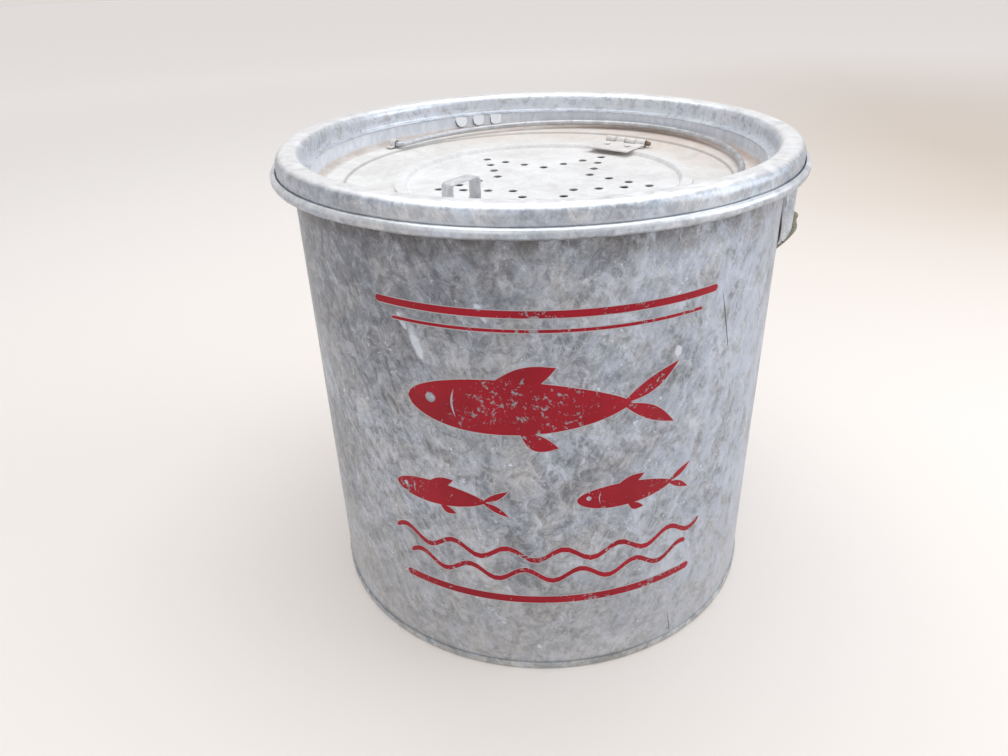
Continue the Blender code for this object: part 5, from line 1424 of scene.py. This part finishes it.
def minnow(nose, level, length):
    """A minnow swimming left, in shares of its length: body, two tail lobes, back fin and belly fin.
    The body's half height is u ** 0.55 (1 - u) ** 0.75 times a share of its length."""
    def leaf(start, end, above, below):
        first, last = [(nose + x * length, level + z * length) for x, z in (start, end)]
        return lens(first, last, above * length, below * length)
    way = np.linspace(0, 1, PRINT_STEPS)
    half = 0.155 * length * way ** 0.55 * (1 - way) ** 0.75 / 0.62 ** 1.3
    along = nose + 0.82 * length * way
    middle = level + 0.012 * length * np.sin(np.pi * way)
    body = (np.stack([along, middle - half], axis=1), np.stack([along, middle + half * 0.86], axis=1))
    return [body,
            leaf((0.78, 0.0), (1.0, 0.125), 0.020, 0.034),
            leaf((0.78, 0.0), (1.0, -0.125), 0.034, 0.020),
            leaf((0.33, 0.105), (0.55, 0.165), 0.030, 0.055),
            leaf((0.42, -0.095), (0.56, -0.16), 0.020, 0.045)]


def eye(nose, level, length):
    """Round eye of a minnow, left bare in the print."""
    up = level + 0.012 * length
    return lens((nose + 0.075 * length, up), (nose + 0.115 * length, up), 0.020 * length, 0.020 * length, 0.5)


def gill(nose, level, length):
    """Curved gill slit of a minnow, left bare in the print."""
    back = nose + 0.19 * length
    low, high = level - 0.055 * length, level + 0.065 * length
    return lens((back, low), (back, high), 0.016 * length, -0.008 * length)


def on_wall(curves, lift, grow=0.0):
    """Closed skins on the wall between pairs of curves: (R + dent + lift) at azimuth A + s / R outside,
    and just inside the wall's face behind. Growing moves the two curves apart and keeps their ends."""
    stacks = []
    for low, high in curves:
        apart = high - low
        wide = np.linalg.norm(apart, axis=1, keepdims=True)
        unit = np.where(wide > 1e-6, apart / np.maximum(wide, 1e-6), 0)
        low, high = low - unit * grow, high + unit * grow
        share = np.linspace(0, 1, 7)[None, :, None]
        flat = low[:, None] * (1 - share) + high[:, None] * share
        azimuth = PRINT_AZIMUTH + np.degrees(flat[..., 0] / PAIL_RADIUS)
        face = PAIL_RADIUS + wall_dents(azimuth % 360, flat[..., 1])
        turn = np.radians(azimuth)
        layers = [np.stack([(face + out) * np.cos(turn), (face + out) * np.sin(turn), flat[..., 1]], axis=-1)
                  for out in (lift, -PRINT_SUNK)]
        stacks.append(np.concatenate([layers[0], layers[1][:, ::-1]], axis=1))
    return np.stack(stacks)


def enamel(name):
    """Red enamel that has faded a little, chipped away to the zinc in flecks."""
    material, tree, shader, place = finish(name, 0.0)
    fade = noise(tree, place, 0.020, 3, 0.5, 0.3)
    paint = mixed(tree, levels(tree, fade, 0.3, 0.7), colour(160, 14, 34), colour(182, 22, 44))
    chips = noise(tree, place, 0.0024, 5, 0.7, 0.6)
    field = noise(tree, place, 0.022, 2, 0.5)
    bare = levels(tree, weighed(tree, (chips, 0.72), (field, 0.28)), 0.580, 0.605)
    tree.links.new(mixed(tree, bare, paint, colour(168, 168, 172)), shader.inputs["Base Color"])
    tree.links.new(levels(tree, bare, 0.0, 1.0, 0.42, 0.6), shader.inputs["Roughness"])
    relief(tree, shader, (bare, -0.00006), (fade, 0.00003))
    shader.inputs["Specular IOR Level"].default_value = 0.25
    return material


def lifted_edge(name):
    """Pale, dull rim of the enamel, where it has come away from the zinc."""
    material, tree, shader, place = finish(name, 0.1)
    paint = mixed(tree, noise(tree, place, 0.004, 3, 0.6), colour(176, 172, 176), colour(214, 210, 212))
    tree.links.new(paint, shader.inputs["Base Color"])
    shader.inputs["Roughness"].default_value = 0.6
    return material


print_curves = [curves for fish in MINNOWS for curves in minnow(*fish)] + [rule(*line) for line in RULES]
eye_curves = [eye(*fish) for fish in MINNOWS] + [gill(*fish) for fish in MINNOWS]
for print_name, curves, lift, grow, paint in (
        ("front_print", print_curves, PRINT_LIFT, 0.0, enamel("print_enamel")),
        ("front_print_edge", print_curves, EDGE_LIFT, EDGE_WIDTH, lifted_edge("print_edge")),
        ("front_print_eyes", eye_curves, EYE_LIFT, 0.0, wall_zinc)):
    layer = skin(print_name, on_wall(curves, lift, grow), wrap_columns=True)
    install(layer, paint, "pail", "galvanised_wall")


# Solder drop
# A drop of solder left on the deck beside the door when the lugs were fixed.
DROP_AZIMUTH = 149.8
DROP_REACH = 0.0782
DROP_RADIUS = 0.0034
DROP_HEIGHT = 0.0008
DROP_SUNK = 0.0001
drop_section = np.vstack([arc((0, 0), DROP_RADIUS, 90, 0, 8, DROP_HEIGHT), [(0, 0)]])
drop = turned("solder_drop", drop_section, around(32))
drop.data.transform(Matrix.Rotation(math.radians(DROP_AZIMUTH), 4, "Z")
                    @ Matrix.Translation((DROP_REACH, 0, SEAT_TOP - DROP_SUNK)))
install(close_up(drop), deck_chalk, "inner_bucket", "chalky_deck")


# Studio
# A wide floor of pale paper that runs out to a pale sky, one broad soft lamp overhead, a cool one at
# the window side, a weak one in front, and the photograph's view.
FLOOR_COLOUR = colour(239, 231, 224)
BACK_COLOUR = colour(238, 231, 226)
BACK_SHADE = colour(216, 202, 188)
FLOOR_REACH = 9.0
FLOOR_LEVEL = -0.0001
NEAR_GLOW = 0.10
FAR_GLOW = 0.42


def seen_rays(tree):
    """One for rays that the eye follows: straight, mirrored or through glass."""
    rays = node(tree, "LightPath", {}).outputs
    return weighed(tree, (rays["Is Camera Ray"], 1.0), (rays["Is Glossy Ray"], 1.0),
                   (rays["Is Transmission Ray"], 1.0))


def studio_paper(name):
    """Pale paper with painted shade behind the bucket on its right, that glows faintly far out."""
    material, tree, shader, place = finish(name, 0.0)
    away = radius_of(tree, place)
    sideways, backward = node(tree, "SeparateXYZ", {"Vector": place}).outputs[:2]
    paint = mixed(tree, levels(tree, away, 0.25, 1.0), FLOOR_COLOUR, BACK_COLOUR)
    behind = times(tree, levels(tree, backward, 0.15, 0.7), levels(tree, sideways, -0.1, 0.6),
                   levels(tree, away, 2.6, 1.2))
    paint = mixed(tree, behind, paint, BACK_SHADE)
    glow = times(tree, seen_rays(tree), levels(tree, away, 0.3, 2.2, NEAR_GLOW, FAR_GLOW))
    tree.links.new(paint, shader.inputs["Base Color"])
    tree.links.new(paint, shader.inputs["Emission Color"])
    tree.links.new(glow, shader.inputs["Emission Strength"])
    shader.inputs["Roughness"].default_value = 0.85
    return material


floor_line = np.array([(0, FLOOR_LEVEL), (FLOOR_REACH, FLOOR_LEVEL)])
floor = turned("floor_paper", floor_line, around(64))
floor.data.materials.append(studio_paper("studio_paper"))


def soft_lamp(name, place, aim, size, power, tint=(1.0, 1.0, 1.0)):
    """Square lamp of a size in metres, turned to face its aim."""
    lamp = bpy.data.lights.new(name, "AREA")
    lamp.size = size
    lamp.energy = power
    lamp.color = tint
    stand = bpy.data.objects.new(name, lamp)
    bpy.context.scene.collection.objects.link(stand)
    stand.location = place
    stand.rotation_euler = (Vector(aim) - stand.location).to_track_quat("-Z", "Y").to_euler()


soft_lamp("overhead", (0.0, 0.10, 1.30), (0, 0.02, 0.1), 1.4, 12.0)
soft_lamp("window", (1.25, 0.00, 0.75), (0, 0, 0.12), 0.9, 5.5, (0.86, 0.93, 1.0))
soft_lamp("front_fill", (-0.4, -1.4, 0.9), (0, 0, 0.1), 0.7, 1.5)
world = bpy.data.worlds.new("studio")
bpy.context.scene.world = world
world.use_nodes = True
sky = world.node_tree
upward = height_of(sky, node(sky, "TexCoord", {}).outputs["Generated"])
dome = mixed(sky, levels(sky, upward, -0.1, 0.7), (0.165, 0.170, 0.182, 1), (0.473, 0.495, 0.528, 1))
haze = mixed(sky, levels(sky, upward, 0.2, 0.8), (0.74, 0.70, 0.67, 1), (0.50, 0.50, 0.51, 1))
sky.links.new(mixed(sky, seen_rays(sky), dome, haze), sky.nodes["Background"].inputs["Color"])
sky.nodes["Background"].inputs["Strength"].default_value = 1.0

PHOTO_WIDTH = 1008
FOCAL_PIXELS = 775.4
LENS_RIGHT = (0.99894, 0.03381, -0.03136)
LENS_UP = (0.01112, 0.48338, 0.87534)
LENS_AHEAD = (-0.04475, 0.87476, -0.48249)
LENS_PLACE = (0, -0.38641, 0.31375)
VIEW_TURN = 6.0
view = bpy.data.cameras.new("photo_view")
view.sensor_width = 36.0
view.lens = FOCAL_PIXELS * view.sensor_width / PHOTO_WIDTH
camera = bpy.data.objects.new("photo_view", view)
bpy.context.scene.collection.objects.link(camera)
spin = Matrix.Rotation(math.radians(VIEW_TURN), 4, "Z")
facing = Matrix((LENS_RIGHT, LENS_UP, [-part for part in LENS_AHEAD])).transposed().to_4x4()
camera.matrix_world = spin @ Matrix.Translation(LENS_PLACE) @ facing
bpy.context.scene.camera = camera
bpy.context.scene.view_settings.view_transform = "Standard"
